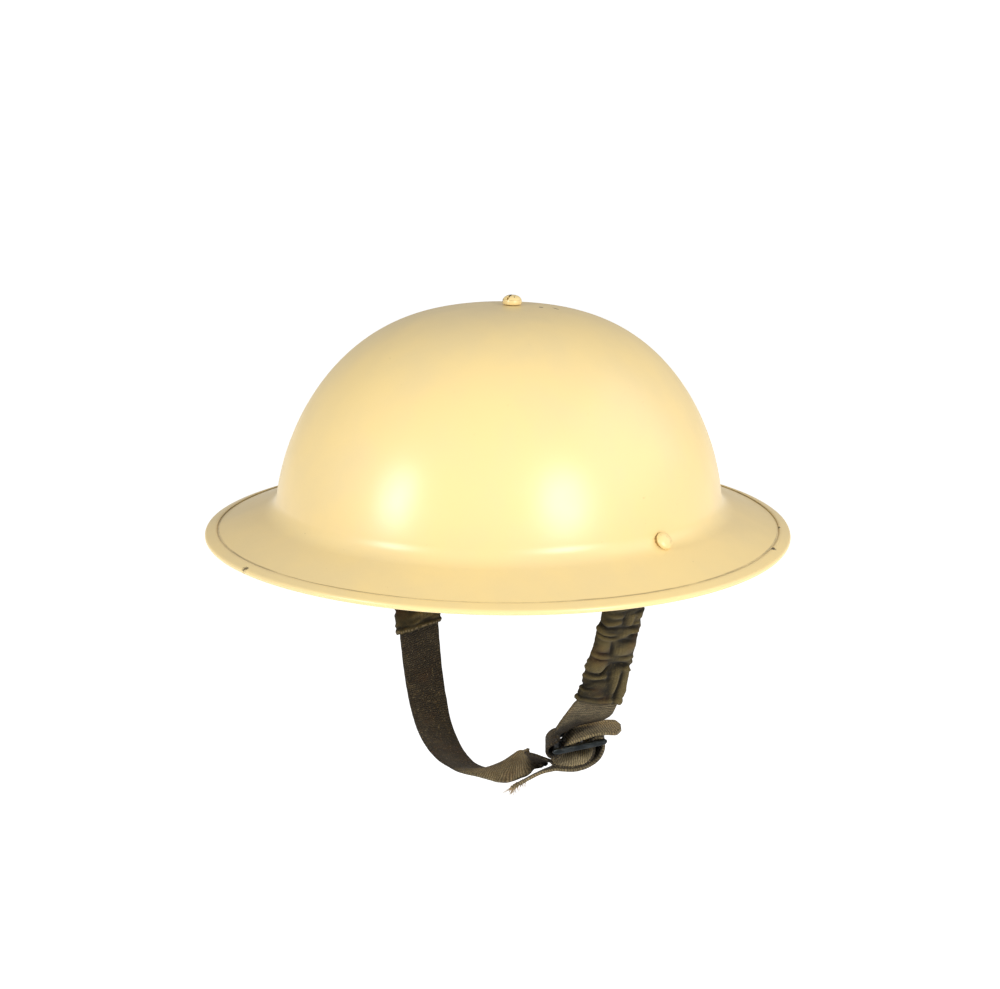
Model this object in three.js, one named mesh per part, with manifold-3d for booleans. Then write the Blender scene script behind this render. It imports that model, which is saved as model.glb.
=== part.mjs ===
// Steel helmet with a wide sloping brim and a two-part webbing chin strap.
// Millimetres, +Z up, wearer's front towards -Y, wearer's left towards +X.
// The origin is where the crown rests on a head: the inside of the shell at its top.
import * as THREE from 'three';
import { mergeVertices } from 'three/addons/utils/BufferGeometryUtils.js';
import Module from 'manifold-3d';

const wasm = await Module();
wasm.setup();

// ---- driving sizes ----------------------------------------------------------
const crownHeight = 116.1;      // brim's lower edge to the outside of the crown
const wall = 1;                 // pressed steel
const brimLevel = wall - crownHeight;
const domeHalfWidth = 109.9;
const domeHalfLength = 119.7;
const domeBase = 11.9;          // where the dome curve would reach full width
const domeRise = 1.72;          // exponent up the dome
const domeRound = 2.62;         // exponent across the dome
const brimHalfWidth = 146;
const brimHalfLength = 155;
const brimSlope = 20;           // degrees below level
const brimEdgeHeight = 1.4;     // middle of the sheet at the brim's edge
const brimSaddle = 1;           // sides droop, front and back lift
const bandReach = 6.8;          // how far the folded rim strip laps the brim
const bandSheet = 0.7;
const gap = 0.3;                // clearance kept between pieces
const around = 60;              // facets round the helmet
const domeRings = 10;

const screwCentre = [0, 5];
const screwShank = 2.5;
const screwHead = 4.9;
const screwHeight = 4.8;
const slotWidth = 1.4;
const slotDepth = 2.2;

const rivetAcross = 111.35;     // where the rivet's axis meets the outer skin
const rivetUp = 15.85;
const rivetTilt = 35;           // degrees the rivet points above level
const rivetShank = 2;
const rivetHead = 4.5;

const lugBarAcross = 99;        // bar the webbing is folded round
const lugBarUp = 5;
const lugWire = 1.3;
const lugHalfSpan = 15;
const lugLoop = 7.2;

const webbing = 1.3;            // thickness of the woven strap
const strapWidth = 25;
const sleeveCloth = 1.2;

// the three-bar slide lies tilted in the strap
const slideCentre = [61.2, 0, -98.9];
const slideAlong = [0.6684, 0.7052, 0.2365];
const slideAcross = [-0.7048, 0.7021, -0.1016];
const slideHalfLength = 13.5;
const slideHalfOpening = 13;
const slideRail = 3.5;
// bars: place along the slide, width
const slideBars = [[-11.75, 3.5], [0, 3], [9.6, 2.2]];
const slideRailThick = 3.2;
const slideBarThick = 1.8;

// ---- webbing paths ----------------------------------------------------------
// free rows: x, y, height above the brim's lower edge, heading and rise in
// degrees of the direction across the strap, cupping in degrees, width
const rightFall = [
  [-101.6, 0, -5, 90, 0, 0, 25],
  [-101.6, 0, 5, 90, 0, 0, 25],
  [-99, 0, 7.6, 90, 0, 0, 25],
  [-96.4, 0, 5, 90, 0, 0, 25],
  [-93, 0, -10, 90, 0, 0, 25],
  [-85, 0, -27, 86, 2, 0, 25],
  [-75.5, 0, -43, 81, 5, 0, 25],
  [-66.8, 0, -59.6, 82, 3, 0, 25],
  [-63.7, 0, -77.9, 83, 1, 0, 25],
  [-60.5, -0.5, -93.7, 84, -4, 0, 25],
  [-53.7, -3, -108.3, 83, -10, 0, 25],
  [-43.7, -7, -120.4, 82, -16, 0, 25],
  [-29.8, -12, -127.8, 78, -19, 0, 25],
  [-13.6, -17, -130.3, 79, -19, 0, 25],
  [0, -19, -129.7, 84, -15, 0, 25],
  [9.7, -19.5, -126.8, 92, -8, 3, 25],
  [18.5, -18.3, -122.9, 100, 5, 8, 25],
  [25.6, -17.2, -119.8, 109, 19, 10, 25],
  [32, -17.1, -118.3, 123, 22, 8, 22],
  [38.2, -15.6, -115.2, 134, 28, 2, 17.5],
  [41.7, -15, -113, 174, 53, 0, 10],
  [43, -15, -112.3, 258, 57, 0, 12],
  [44.9, -15, -111.5, 298, 45, 0, 14.5],
  [47.5, -14.4, -111, 306, 38, 0, 17.5],
  [50.1, -13, -111, 311, 30, 0, 20],
];
// slide rows: along, across and above the slide's centre, tilt and cupping in
// degrees, width
const rightWrap = [
  [-17, 0, -8.8, -16, 0, 24],
  [-14.5, 0, -9.3, -8, 0, 25],
  [-12, 0, -9.1, -2, 0, 25],
  [-8.5, 0, -8.4, 6, -4, 25],
  [-4.5, 0, -7.3, 12, -8, 25],
  [0, 0, -6.2, 15, -10, 25],
  [3.6, 0, -5, 11, -6, 25],
  [6, 0, -3.2, 5, -2, 25],
  [7.1, 0, -1, 0, 0, 25],
  [7.9, 0, 1.2, 0, 0, 25],
  [9.6, 0, 1.85, 0, 0, 25],
  [11.3, 0, 1.2, 0, 0, 25],
  [12.1, 0, -0.8, 0, 0, 25],
  [11.5, 0, -3.2, 3, 0, 25],
  [9.2, 0, -5.3, 9, 0, 25],
  [5.6, 0, -6.9, 13, 5, 25],
  [0.8, 0, -8.2, 15, 9, 25],
  [-4.5, 0, -9.3, 12, 8, 25],
  [-8.5, 0, -10.3, 6, 4, 25],
  [-12, 0, -11.3, -3, 0, 25],
  [-15, 0, -11.8, -9, 0, 25],
  [-18.5, 0, -12.7, -13, 0, 25],
  [-22.5, 0, -13.3, -14, 0, 25],
  [-27, 0, -14.4, -14, 0, 25],
  [-31.5, 0, -15.8, -14, 0, 25],
  [-35, 0, -16.8, -14, 0, 25],
  [-38, 0, -17.5, -14, 0, 25],
];
const leftFall = [
  [101.6, 0, -5, 90, 0, 0, 25],
  [101.6, 0, 5, 90, 0, 0, 25],
  [99, 0, 7.6, 90, 0, 0, 25],
  [96.4, 0, 5, 90, 0, 0, 25],
  [94, 0, -8, 90, 0, 0, 25],
  [88.4, 0, -22.6, 91, 0, 0, 25],
  [84.2, 0, -39.5, 88, -1, 0, 25],
  [80.5, 0, -51.9, 86, -1, 0, 25],
  [76.8, -0.4, -64.5, 84, -4, 0, 25],
  [74.9, -1.2, -73.5, 79, -8, 0, 25],
  [71.6, -2.7, -80.1, 72, -12, 0, 25],
  [66.5, -3.6, -85.6, 77, -9, 0, 25],
  [61, -4.4, -90.4, 91, -7, 0, 25],
  [55.2, -5.8, -95.5, 109, -6, 0, 25],
];
const leftWrap = [
  [-11.3, 0, 3.9, 0, 0, 25],
  [-14.6, 0, 2.9, 0, 0, 25],
  [-16.8, 0, 0.9, 0, 0, 25],
  [-16.9, 0, -1.1, 0, 0, 25],
  [-16, 0, -2.8, 0, 0, 25],
  [-13.8, 0, -3.7, 0, 0, 25],
  [-11.4, 0, -3.2, 0, 0, 25],
  [-9, 0, -1.8, 0, 0, 25],
  [-7.4, 0, -0.4, 0, 0, 25],
  [-5.6, 0, 1, 0, 0, 25],
  [-3, 0, 2.1, 0, 0, 25],
  [0, 0, 2.5, 0, 0, 25],
  [4, 0, 3.1, 0, 0, 25],
  [9.6, 0, 3.5, 0, 0, 25],
  [13.5, 0, 3, 0, 0, 25],
  [17, 0, 2.3, 0, 0, 25],
  [19.6, 0, 1.7, 0, 0, 23.5],
  [22, 0, 1.1, 0, 0, 8],
];

// sleeve rows: x, y, height above the brim's lower edge, heading of the wide
// direction, half width, half thickness, slant of the cut in degrees
const rightSleeve = [
  [-98.1, 0, -3.5, 90, 14.9, 7.5, 0],
  [-95.3, 0, -9, 90, 14.7, 6.8, 0],
  [-90.2, 0, -17, 89, 14.4, 4.9, 0],
  [-85, 0, -27, 86, 14.2, 3.9, 0],
  [-75.5, 0, -43, 81, 14.2, 3.5, 0],
  [-69.6, 0, -54, 81, 14.3, 3.5, 1],
  [-66, 0, -63.5, 82, 14.4, 3.4, 3],
  [-64.7, 0, -71.5, 83, 14.5, 3.2, 5],
];
const leftSleeve = [
  [98.2, 0, -3.5, 90, 14.9, 7.5, 0],
  [95.8, 0, -9, 90, 14.7, 6.8, 0],
  [91, 0, -17, 90, 14.4, 4.9, 0],
  [87, 0, -28.5, 90, 14.2, 4.1, 0],
  [84.2, 0, -39.5, 88, 14.2, 3.7, 0],
  [80.5, 0, -51.9, 86, 14.4, 3.7, 0],
  [77.3, -0.2, -64, 84, 14.6, 3.8, -1],
  [74.6, -1.1, -74, 80, 14.9, 4, -6],
];

// ---- shape helpers ----------------------------------------------------------
const rad = THREE.MathUtils.degToRad;
const vec = (list) => new THREE.Vector3(...list);
const cross = (a, b) => new THREE.Vector3().crossVectors(a, b);

function closed(positions, index) {
  let volume = 0;
  for (let i = 0; i < index.length; i += 3) {
    const [a, b, c] = [0, 1, 2].map((k) => positions[index[i + k]]);
    volume += a.dot(cross(b, c));
  }
  if (volume < 0) index.reverse();
  const geometry = new THREE.BufferGeometry();
  const flat = positions.flatMap((p) => [p.x, p.y, p.z]);
  geometry.setAttribute('position', new THREE.Float32BufferAttribute(flat, 3));
  geometry.setIndex(index);
  return geometry;
}

// rings of points joined one to the next, ends closed by strips across the ring
function loft(rings, endless = false) {
  const n = rings[0].length;
  const index = [];
  const steps = endless ? rings.length : rings.length - 1;
  for (let i = 0; i < steps; i += 1) {
    const a = i * n;
    const b = ((i + 1) % rings.length) * n;
    for (let j = 0; j < n; j += 1) {
      const k = (j + 1) % n;
      index.push(a + j, b + j, b + k, a + j, b + k, a + k);
    }
  }
  if (!endless) {
    const b = (rings.length - 1) * n;
    for (let j = 0; j < n / 2 - 1; j += 1) {
      const [p, q, r, s] = [j, j + 1, n - 2 - j, n - 1 - j];
      index.push(p, q, r, p, r, s);
      index.push(b + p, b + r, b + q, b + p, b + s, b + r);
    }
  }
  return closed(rings.flat(), index);
}

// profile of [radius, height] pairs from axis to axis, turned round an axis
function turned(profile, sides, origin, axis) {
  const up = axis.clone().normalize();
  const side = cross(up, Math.abs(up.y) < 0.9 ? vec([0, 1, 0]) : vec([1, 0, 0])).normalize();
  const other = cross(up, side);
  const place = (radius, height, turn) => origin.clone()
    .addScaledVector(up, height)
    .addScaledVector(side, radius * Math.cos(turn))
    .addScaledVector(other, radius * Math.sin(turn));
  const positions = [place(0, profile[0][1], 0)];
  const inner = profile.slice(1, -1);
  for (const [radius, height] of inner) {
    for (let j = 0; j < sides; j += 1) {
      positions.push(place(radius, height, (j / sides) * 2 * Math.PI));
    }
  }
  positions.push(place(0, profile.at(-1)[1], 0));
  const index = [];
  const tip = positions.length - 1;
  const lastRing = 1 + (inner.length - 1) * sides;
  for (let j = 0; j < sides; j += 1) {
    const k = (j + 1) % sides;
    index.push(0, 1 + k, 1 + j);
    for (let i = 0; i < inner.length - 1; i += 1) {
      const a = 1 + i * sides;
      const b = a + sides;
      index.push(a + j, a + k, b + k, a + j, b + k, b + j);
    }
    index.push(tip, lastRing + j, lastRing + k);
  }
  return closed(positions, index);
}

function block(centre, axes, sizes) {
  const geometry = new THREE.BoxGeometry(...sizes);
  const basis = new THREE.Matrix4().makeBasis(...axes);
  geometry.applyMatrix4(basis.setPosition(centre));
  geometry.deleteAttribute('normal');
  geometry.deleteAttribute('uv');
  return mergeVertices(geometry, 1e-5);
}

function toSolid(geometry) {
  const vertProperties = new Float32Array(geometry.attributes.position.array);
  const triVerts = new Uint32Array(geometry.index.array);
  return new wasm.Manifold(new wasm.Mesh({ numProp: 3, vertProperties, triVerts }));
}

function toGeometry(solid) {
  const mesh = solid.getMesh();
  const geometry = new THREE.BufferGeometry();
  const flat = new Float32Array(mesh.vertProperties);
  geometry.setAttribute('position', new THREE.BufferAttribute(flat, 3));
  geometry.setIndex(Array.from(mesh.triVerts));
  return geometry;
}

const join = (list) => list.map(toSolid).reduce((whole, piece) => whole.add(piece));
const cut = (solid, list) => list.map(toSolid).reduce((left, tool) => left.subtract(tool), solid);

// ---- shell and rim band -----------------------------------------------------
const slope = rad(brimSlope);
const outwards = [Math.cos(slope), -Math.sin(slope)];
const upwards = [Math.sin(slope), Math.cos(slope)];
const sheetEdge = brimHalfWidth - gap - bandSheet;

// a point on the side section of the brim: inset from the sheet's edge, and
// height over the middle of the sheet
const brimPoint = (inset, over) => [
  sheetEdge - inset * outwards[0] + over * upwards[0],
  brimEdgeHeight - inset * outwards[1] + over * upwards[1],
];

function outerProfile() {
  const span = crownHeight - domeBase;
  const wallTop = 21.5;
  const low = Math.asin(((wallTop - domeBase) / span) ** (domeRise / 2));
  const points = [];
  for (let i = 0; i <= domeRings; i += 1) {
    const turn = Math.PI / 2 + (low - Math.PI / 2) * (i / domeRings);
    const radius = domeHalfWidth * Math.max(Math.cos(turn), 0) ** (2 / domeRound);
    points.push([i ? radius : 0, domeBase + span * Math.sin(turn) ** (2 / domeRise)]);
  }
  const start = points.at(-1);
  const end = brimPoint(30, wall / 2);
  const corner = [start[0] + 0.4, end[1] + (end[0] - start[0] - 0.4) * Math.tan(slope)];
  for (const t of [0.25, 0.5, 0.75, 1]) {
    points.push([0, 1].map((k) => (
      (1 - t) ** 2 * start[k] + 2 * t * (1 - t) * corner[k] + t ** 2 * end[k]
    )));
  }
  return [...points, brimPoint(15, wall / 2), brimPoint(0, wall / 2)];
}

// the same profile moved inwards by the thickness of the steel
function innerProfile(outer) {
  return outer.map(([radius, height], i) => {
    const before = outer[Math.max(i - 1, 0)];
    const after = outer[Math.min(i + 1, outer.length - 1)];
    const run = [after[0] - before[0], after[1] - before[1]];
    const length = Math.hypot(...run);
    if (!i) return [0, height - wall];
    return [radius + (wall * run[1]) / length, height - (wall * run[0]) / length];
  });
}

// a ring of the helmet through a point of the side section
function helmetRing([radius, height], reference = radius) {
  const beyond = (reference - domeHalfWidth) / (brimHalfWidth - domeHalfWidth);
  const stretch = domeHalfLength / domeHalfWidth;
  const growth = (brimHalfLength - domeHalfLength) / (brimHalfWidth - domeHalfWidth);
  const long = beyond > 0
    ? domeHalfLength + (reference - domeHalfWidth) * growth + radius - reference
    : reference * stretch + radius - reference;
  const droop = brimSaddle * Math.max(beyond, 0);
  return Array.from({ length: around }, (_, j) => {
    const turn = (j / around) * 2 * Math.PI;
    const z = brimLevel + height - droop * Math.cos(2 * turn);
    return vec([radius * Math.cos(turn), Math.max(long, 0) * Math.sin(turn), z]);
  });
}

function shellSolid() {
  const outer = outerProfile();
  const inner = innerProfile(outer);
  const rings = outer.slice(1).map((point) => helmetRing(point));
  const back = inner.slice(1).map((point, i) => helmetRing(point, outer[i + 1][0]));
  const layers = [...rings, ...back.reverse()];
  const positions = layers.flat();
  const index = [];
  for (let i = 0; i < layers.length - 1; i += 1) {
    for (let j = 0; j < around; j += 1) {
      const k = (j + 1) % around;
      const a = i * around;
      const b = a + around;
      index.push(a + j, b + j, b + k, a + j, b + k, a + k);
    }
  }
  const top = positions.push(vec([0, 0, brimLevel + outer[0][1]])) - 1;
  const under = positions.push(vec([0, 0, brimLevel + inner[0][1]])) - 1;
  const last = (layers.length - 1) * around;
  for (let j = 0; j < around; j += 1) {
    const k = (j + 1) % around;
    index.push(top, j, k);
    index.push(under, last + k, last + j);
  }
  return closed(positions, index);
}

function rimBand() {
  const half = wall / 2 + gap + bandSheet;
  const inside = wall / 2 + gap;
  const lap = bandReach - bandSheet - gap;
  const round = half;
  const middle = round - gap - bandSheet;
  const section = [[lap, half]];
  for (const degrees of [90, 54, 18, -18, -54, -90]) {
    section.push([middle - round * Math.cos(rad(degrees)), round * Math.sin(rad(degrees))]);
  }
  section.push([lap, -half], [lap, -inside], [-0.1, -inside], [-gap, 0.2 - inside]);
  section.push([-gap, inside - 0.2], [-0.1, inside], [lap, inside]);
  const rings = section.map(([inset, over]) => (
    helmetRing(brimPoint(inset, over), sheetEdge - inset * outwards[0])
  ));
  const loops = Array.from({ length: around }, (_, j) => rings.map((ring) => ring[j]));
  return loft(loops, true);
}

// ---- fastenings -------------------------------------------------------------
const seat = vec([...screwCentre, 0]);
const upright = vec([0, 0, 1]);

function crownScrew() {
  const under = wall + gap;
  const head = [];
  for (const degrees of [0, 22, 45, 68]) {
    const height = under + 1.4 + (screwHeight - 1.4) * Math.sin(rad(degrees));
    head.push([screwHead * Math.cos(rad(degrees)), height]);
  }
  const profile = [
    [0, -5.6],
    [screwShank - 0.4, -5.6],
    [screwShank, -5.2],
    [screwShank, under],
    [screwHead - 0.4, under],
    ...head,
    [0, under + screwHeight],
  ];
  const slot = block(
    vec([...screwCentre, under + screwHeight - slotDepth + 4]),
    [vec([0.98, 0.2, 0]), vec([-0.2, 0.98, 0]), upright],
    [slotWidth, 14, 8],
  );
  return toGeometry(cut(toSolid(turned(profile, 24, seat, upright)), [slot]));
}

function crownNut() {
  const ring = (radius, height) => Array.from({ length: 6 }, (_, j) => {
    const turn = (j / 6) * 2 * Math.PI;
    return vec([radius * Math.cos(turn), radius * Math.sin(turn), height]).add(seat);
  });
  const hexagon = loft([ring(4.6, -0.7), ring(4.6, -3.9)]);
  const bore = screwShank + gap;
  const hole = turned([[0, 1], [bore, 1], [bore, -6], [0, -6]], 24, seat, upright);
  return toGeometry(cut(toSolid(hexagon), [hole]));
}

// side +1 is the wearer's left, -1 the right
const rivetAxis = (side) => vec([side * Math.cos(rad(rivetTilt)), 0, Math.sin(rad(rivetTilt))]);
const rivetPoint = (side) => vec([side * rivetAcross, 0, brimLevel + rivetUp]);
const rivetHole = (side) => turned(
  [[0, 6], [rivetShank + gap, 6], [rivetShank + gap, -8], [0, -8]],
  20,
  rivetPoint(side),
  rivetAxis(side),
);

function rivet(side) {
  const profile = [[0, 3.9], [1.8, 3.65], [3.4, 2.95], [4.3, 2.1], [rivetHead, 1.7]];
  profile.push([rivetHead - 0.3, 1.5], [rivetShank, 1.2], [rivetShank, -3.1]);
  profile.push([3.2, -3.1], [3.2, -3.9], [2.6, -4.3], [0, -4.3]);
  return turned(profile, 20, rivetPoint(side), rivetAxis(side));
}

function lug(side) {
  const out = rivetAxis(side);
  const wide = vec([0, 1, 0]);
  const uphill = cross(out, wide);
  const plateAt = rivetPoint(side).addScaledVector(out, -2.15);
  const plate = block(plateAt, [out, wide, uphill], [1.2, 13, 9]);
  const cheeks = [-1, 1].map((hand) => {
    const middle = rivetPoint(side).addScaledVector(out, -5.8).addScaledVector(wide, hand * 5.3);
    return block(middle, [out, wide, uphill], [6.8, 1.8, 4]);
  });
  const bar = vec([side * lugBarAcross, 0, brimLevel + lugBarUp]);
  const rise = rivetPoint(side).addScaledVector(out, -9.2).sub(bar).normalize();
  const normal = cross(wide, rise);
  const corner = 1.6;
  const span = lugHalfSpan;
  const path = [
    [span - corner, 0],
    [span, corner],
    [span, lugLoop - corner],
    [span - corner, lugLoop],
    [corner - span, lugLoop],
    [-span, lugLoop - corner],
    [-span, corner],
    [corner - span, 0],
  ];
  const rings = path.map(([x, y], i) => {
    const before = path[(i + path.length - 1) % path.length];
    const after = path[(i + 1) % path.length];
    const run = [after[0] - before[0], after[1] - before[1]];
    const length = Math.hypot(...run);
    const sideways = [run[1] / length, -run[0] / length];
    return Array.from({ length: 8 }, (_, j) => {
      const turn = ((j + 0.5) / 8) * 2 * Math.PI;
      const inPlane = lugWire * Math.cos(turn);
      return bar.clone()
        .addScaledVector(wide, x + sideways[0] * inPlane)
        .addScaledVector(rise, y + sideways[1] * inPlane)
        .addScaledVector(normal, lugWire * Math.sin(turn));
    });
  });
  const whole = join([plate, ...cheeks, loft(rings, true)]);
  return toGeometry(cut(whole, [rivetHole(side)]));
}

// ---- strap ------------------------------------------------------------------
const hub = vec(slideCentre).add(vec([0, 0, brimLevel]));
const along = vec(slideAlong).normalize();
const across = vec(slideAcross).normalize();
const above = cross(along, across).normalize();

const freeRow = ([x, y, z, heading, rise, cup, width]) => ({
  centre: vec([x, y, z + brimLevel]),
  wide: vec([
    Math.cos(rad(rise)) * Math.cos(rad(heading)),
    Math.cos(rad(rise)) * Math.sin(rad(heading)),
    Math.sin(rad(rise)),
  ]),
  cup,
  width,
});
const slideRow = (hand) => ([a, c, lift, tilt, cup, width]) => ({
  centre: hub.clone().addScaledVector(along, a).addScaledVector(across, c)
    .addScaledVector(above, lift),
  wide: across.clone().multiplyScalar(hand * Math.cos(rad(tilt)))
    .addScaledVector(above, hand * Math.sin(rad(tilt))),
  cup,
  width,
});

// smooth curve through rows of numbers, `steps` pieces between rows
function smooth(rows, steps) {
  const at = (i) => rows[Math.min(Math.max(i, 0), rows.length - 1)];
  const fine = [];
  for (let i = 0; i < rows.length - 1; i += 1) {
    for (let s = 0; s < steps; s += 1) {
      const t = s / steps;
      fine.push(at(i).map((value, k) => {
        const [a, b, c] = [at(i - 1)[k], at(i + 1)[k], at(i + 2)[k]];
        return 0.5 * (2 * value + (b - a) * t + (2 * a - 5 * value + 4 * b - c) * t * t
          + (3 * value - a - 3 * b + c) * t ** 3);
      }));
    }
  }
  return [...fine, rows.at(-1)];
}

function ribbon(rows, steps = 2, cells = 4) {
  const numbers = rows.map((r) => [...r.centre.toArray(), ...r.wide.toArray(), r.cup, r.width]);
  const fine = smooth(numbers, steps);
  const centres = fine.map((row) => vec(row.slice(0, 3)));
  const rings = fine.map((row, i) => {
    const ahead = centres[Math.min(i + 1, fine.length - 1)].clone();
    const run = ahead.sub(centres[Math.max(i - 1, 0)]).normalize();
    const wide = vec(row.slice(3, 6));
    wide.addScaledVector(run, -wide.dot(run)).normalize();
    const face = cross(run, wide);
    const bend = Math.abs(row[6]) < 0.1 ? 0.001 : rad(row[6]);
    const layer = (side) => Array.from({ length: cells + 1 }, (_, j) => {
      const t = -1 + (2 * j) / cells;
      const x = (Math.sin(bend * t) / bend) * (row[7] / 2);
      const z = ((1 - Math.cos(bend * t)) / bend) * (row[7] / 2);
      const lean = bend * t;
      return centres[i].clone()
        .addScaledVector(wide, x + side * (webbing / 2) * Math.sin(lean))
        .addScaledVector(face, -z + side * (webbing / 2) * Math.cos(lean));
    });
    return [...layer(1), ...layer(-1).reverse()];
  });
  return loft(rings);
}

function sleeve(rows, steps = 2, sides = 20) {
  const numbers = rows.map((r) => [r[0], r[1], r[2] + brimLevel, ...r.slice(3)]);
  const fine = smooth(numbers, steps);
  const centres = fine.map((row) => vec(row.slice(0, 3)));
  const layer = (inset) => fine.map((row, i) => {
    const ahead = centres[Math.min(i + 1, fine.length - 1)].clone();
    const run = ahead.sub(centres[Math.max(i - 1, 0)]).normalize();
    const wide = vec([Math.cos(rad(row[3])), Math.sin(rad(row[3])), 0]);
    wide.addScaledVector(run, -wide.dot(run)).normalize();
    const face = cross(run, wide);
    const slant = Math.tan(rad(row[6]));
    return Array.from({ length: sides }, (_, j) => {
      const turn = (j / sides) * 2 * Math.PI;
      const [c, s] = [Math.cos(turn), Math.sin(turn)];
      const x = Math.sign(c) * Math.abs(c) ** 0.45 * (row[4] - inset);
      const z = Math.sign(s) * Math.abs(s) ** 0.45 * (row[5] - inset);
      return centres[i].clone()
        .addScaledVector(wide, x)
        .addScaledVector(face, z)
        .addScaledVector(run, -x * slant);
    });
  });
  return loft([...layer(0), ...layer(sleeveCloth).reverse()], true);
}

// a rounded bar of the slide; ends drawn in where `soft` is set
function slideBarSolid(centre, direction, sideways, half, widthHalf, thickHalf, soft) {
  const ends = soft ? [[-1, 0.35], [-0.93, 0.8], [-0.8, 1], [0.8, 1], [0.93, 0.8], [1, 0.35]]
    : [[-1, 1], [1, 1]];
  const rings = ends.map(([t, scale]) => Array.from({ length: 12 }, (_, j) => {
    const turn = ((j + 0.5) / 12) * 2 * Math.PI;
    const [c, s] = [Math.cos(turn), Math.sin(turn)];
    return centre.clone()
      .addScaledVector(direction, t * half)
      .addScaledVector(sideways, Math.sign(c) * Math.abs(c) ** 0.6 * widthHalf * scale)
      .addScaledVector(above, Math.sign(s) * Math.abs(s) ** 0.6 * thickHalf * scale);
  }));
  return loft(rings);
}

function slide() {
  const offset = slideHalfOpening + slideRail / 2;
  const rails = [-1, 1].map((hand) => slideBarSolid(
    hub.clone().addScaledVector(across, hand * offset),
    along,
    across,
    slideHalfLength + 0.5,
    slideRail / 2,
    slideRailThick / 2,
    true,
  ));
  const bars = slideBars.map(([a, width]) => slideBarSolid(
    hub.clone().addScaledVector(along, a),
    across,
    along,
    offset,
    width / 2,
    slideBarThick / 2,
    false,
  ));
  return toGeometry(join([...rails, ...bars]));
}

// ---- assembly ---------------------------------------------------------------
const group = new THREE.Group();
group.name = 'steel_helmet';

function piece(name, geometry, color, roughness, metalness) {
  const material = new THREE.MeshStandardMaterial({ color, roughness, metalness });
  material.name = name;
  const mesh = new THREE.Mesh(geometry, material);
  mesh.name = name;
  group.add(mesh);
}

const crownHole = turned(
  [[0, 4], [screwShank + gap, 4], [screwShank + gap, -4], [0, -4]],
  24,
  seat,
  upright,
);
const pierced = cut(toSolid(shellSolid()), [crownHole, rivetHole(1), rivetHole(-1)]);

piece('shell', toGeometry(pierced), 0xd9c79a, 0.5, 0);
piece('rim_band', rimBand(), 0xd4c08e, 0.5, 0);
piece('crown_screw', crownScrew(), 0xcdbb8d, 0.5, 0);
piece('crown_nut', crownNut(), 0x7c7a72, 0.5, 1);
piece('left_rivet', rivet(1), 0xd4c08e, 0.45, 0);
piece('right_rivet', rivet(-1), 0xd4c08e, 0.45, 0);
piece('left_lug', lug(1), 0x6c6a62, 0.5, 1);
piece('right_lug', lug(-1), 0x6c6a62, 0.5, 1);
piece('left_sleeve', sleeve(leftSleeve), 0x5b5138, 0.9, 0);
piece('right_sleeve', sleeve(rightSleeve), 0x4a4230, 0.9, 0);
const rightRows = [
  ...rightFall.map(freeRow),
  ...rightWrap.map(slideRow(-1)),
];
piece('right_webbing', ribbon(rightRows), 0x6b5a3c, 0.9, 0);
const leftRows = [...leftFall.map(freeRow), ...leftWrap.map(slideRow(1))];
piece('left_webbing', ribbon(leftRows), 0x6b5a3c, 0.9, 0);
piece('strap_slide', slide(), 0x4a525c, 0.35, 1);

export default group;
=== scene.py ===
"""A wide-brimmed steel helmet in sand paint, with its webbing chin strap hanging from two lugs.

Run as a script. Everything is in metres, in the part's frame: the origin is the inside of the
crown, +Z is up, the wearer's front is towards -Y and the wearer's left towards +X.
"""
import math
import random

import bmesh
import bpy
from bpy.props import FloatProperty, FloatVectorProperty, IntProperty, PointerProperty
from mathutils import Matrix, Vector, noise


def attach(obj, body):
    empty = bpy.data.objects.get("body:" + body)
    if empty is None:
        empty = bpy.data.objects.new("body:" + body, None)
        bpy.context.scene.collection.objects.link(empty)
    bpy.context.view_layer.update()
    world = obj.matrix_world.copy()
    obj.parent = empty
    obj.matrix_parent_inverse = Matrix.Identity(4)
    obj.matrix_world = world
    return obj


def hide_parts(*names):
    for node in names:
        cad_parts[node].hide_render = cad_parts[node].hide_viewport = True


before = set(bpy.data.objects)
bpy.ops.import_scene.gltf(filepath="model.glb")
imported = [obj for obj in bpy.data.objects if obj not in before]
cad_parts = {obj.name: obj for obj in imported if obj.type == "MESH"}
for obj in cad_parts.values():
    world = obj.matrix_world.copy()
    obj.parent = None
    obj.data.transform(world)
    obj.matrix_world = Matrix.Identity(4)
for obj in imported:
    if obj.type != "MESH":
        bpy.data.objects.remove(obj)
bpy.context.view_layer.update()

bl_info = {
    "name": "Steel Helmet",
    "version": (1, 0, 0),
    "blender": (4, 5, 0),
    "location": "3D View > Sidebar > Helmet",
    "description": "Builds a painted steel helmet with a webbing chin strap",
    "category": "Add Mesh",
}

# ---- sizes and tables, in millimetres --------------------------------------------------------

MM = 0.001
WALL = 1.0  # pressed steel
CROWN = 116.1  # from the brim's lower edge to the outside of the crown
LEVEL = WALL - CROWN  # the brim's lower edge in the part's frame
DOME_BASE = 11.9  # height at which the dome's curve would reach its full width
DOME_FOOT = 21.5  # height at which the curve out to the brim starts
DOME_RISE, DOME_ROUND = 1.72, 2.62  # exponents of the dome's curve, up it and across it
DOME_RINGS, FOOT_RINGS = 44, 14
BRIM_EDGE = 1.4  # middle of the sheet at the brim's edge, over the brim's lower edge
BRIM_INSETS = (25, 20, 15, 10, 8, 7, 6.6, 6.2, 5, 2.5, 0.3)  # rings of the brim, from its edge
BRIM_SADDLE = 1.0  # how far the brim's sides droop and its front and back lift
BAND_STAND = 1.0  # from the brim's edge to the outside of the rim band
BAND_HALF, BAND_INSIDE = 1.5, 0.8  # half the folded band's thickness, outside and inside
BAND_LAP = 5.8  # how far the band laps the brim
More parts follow.
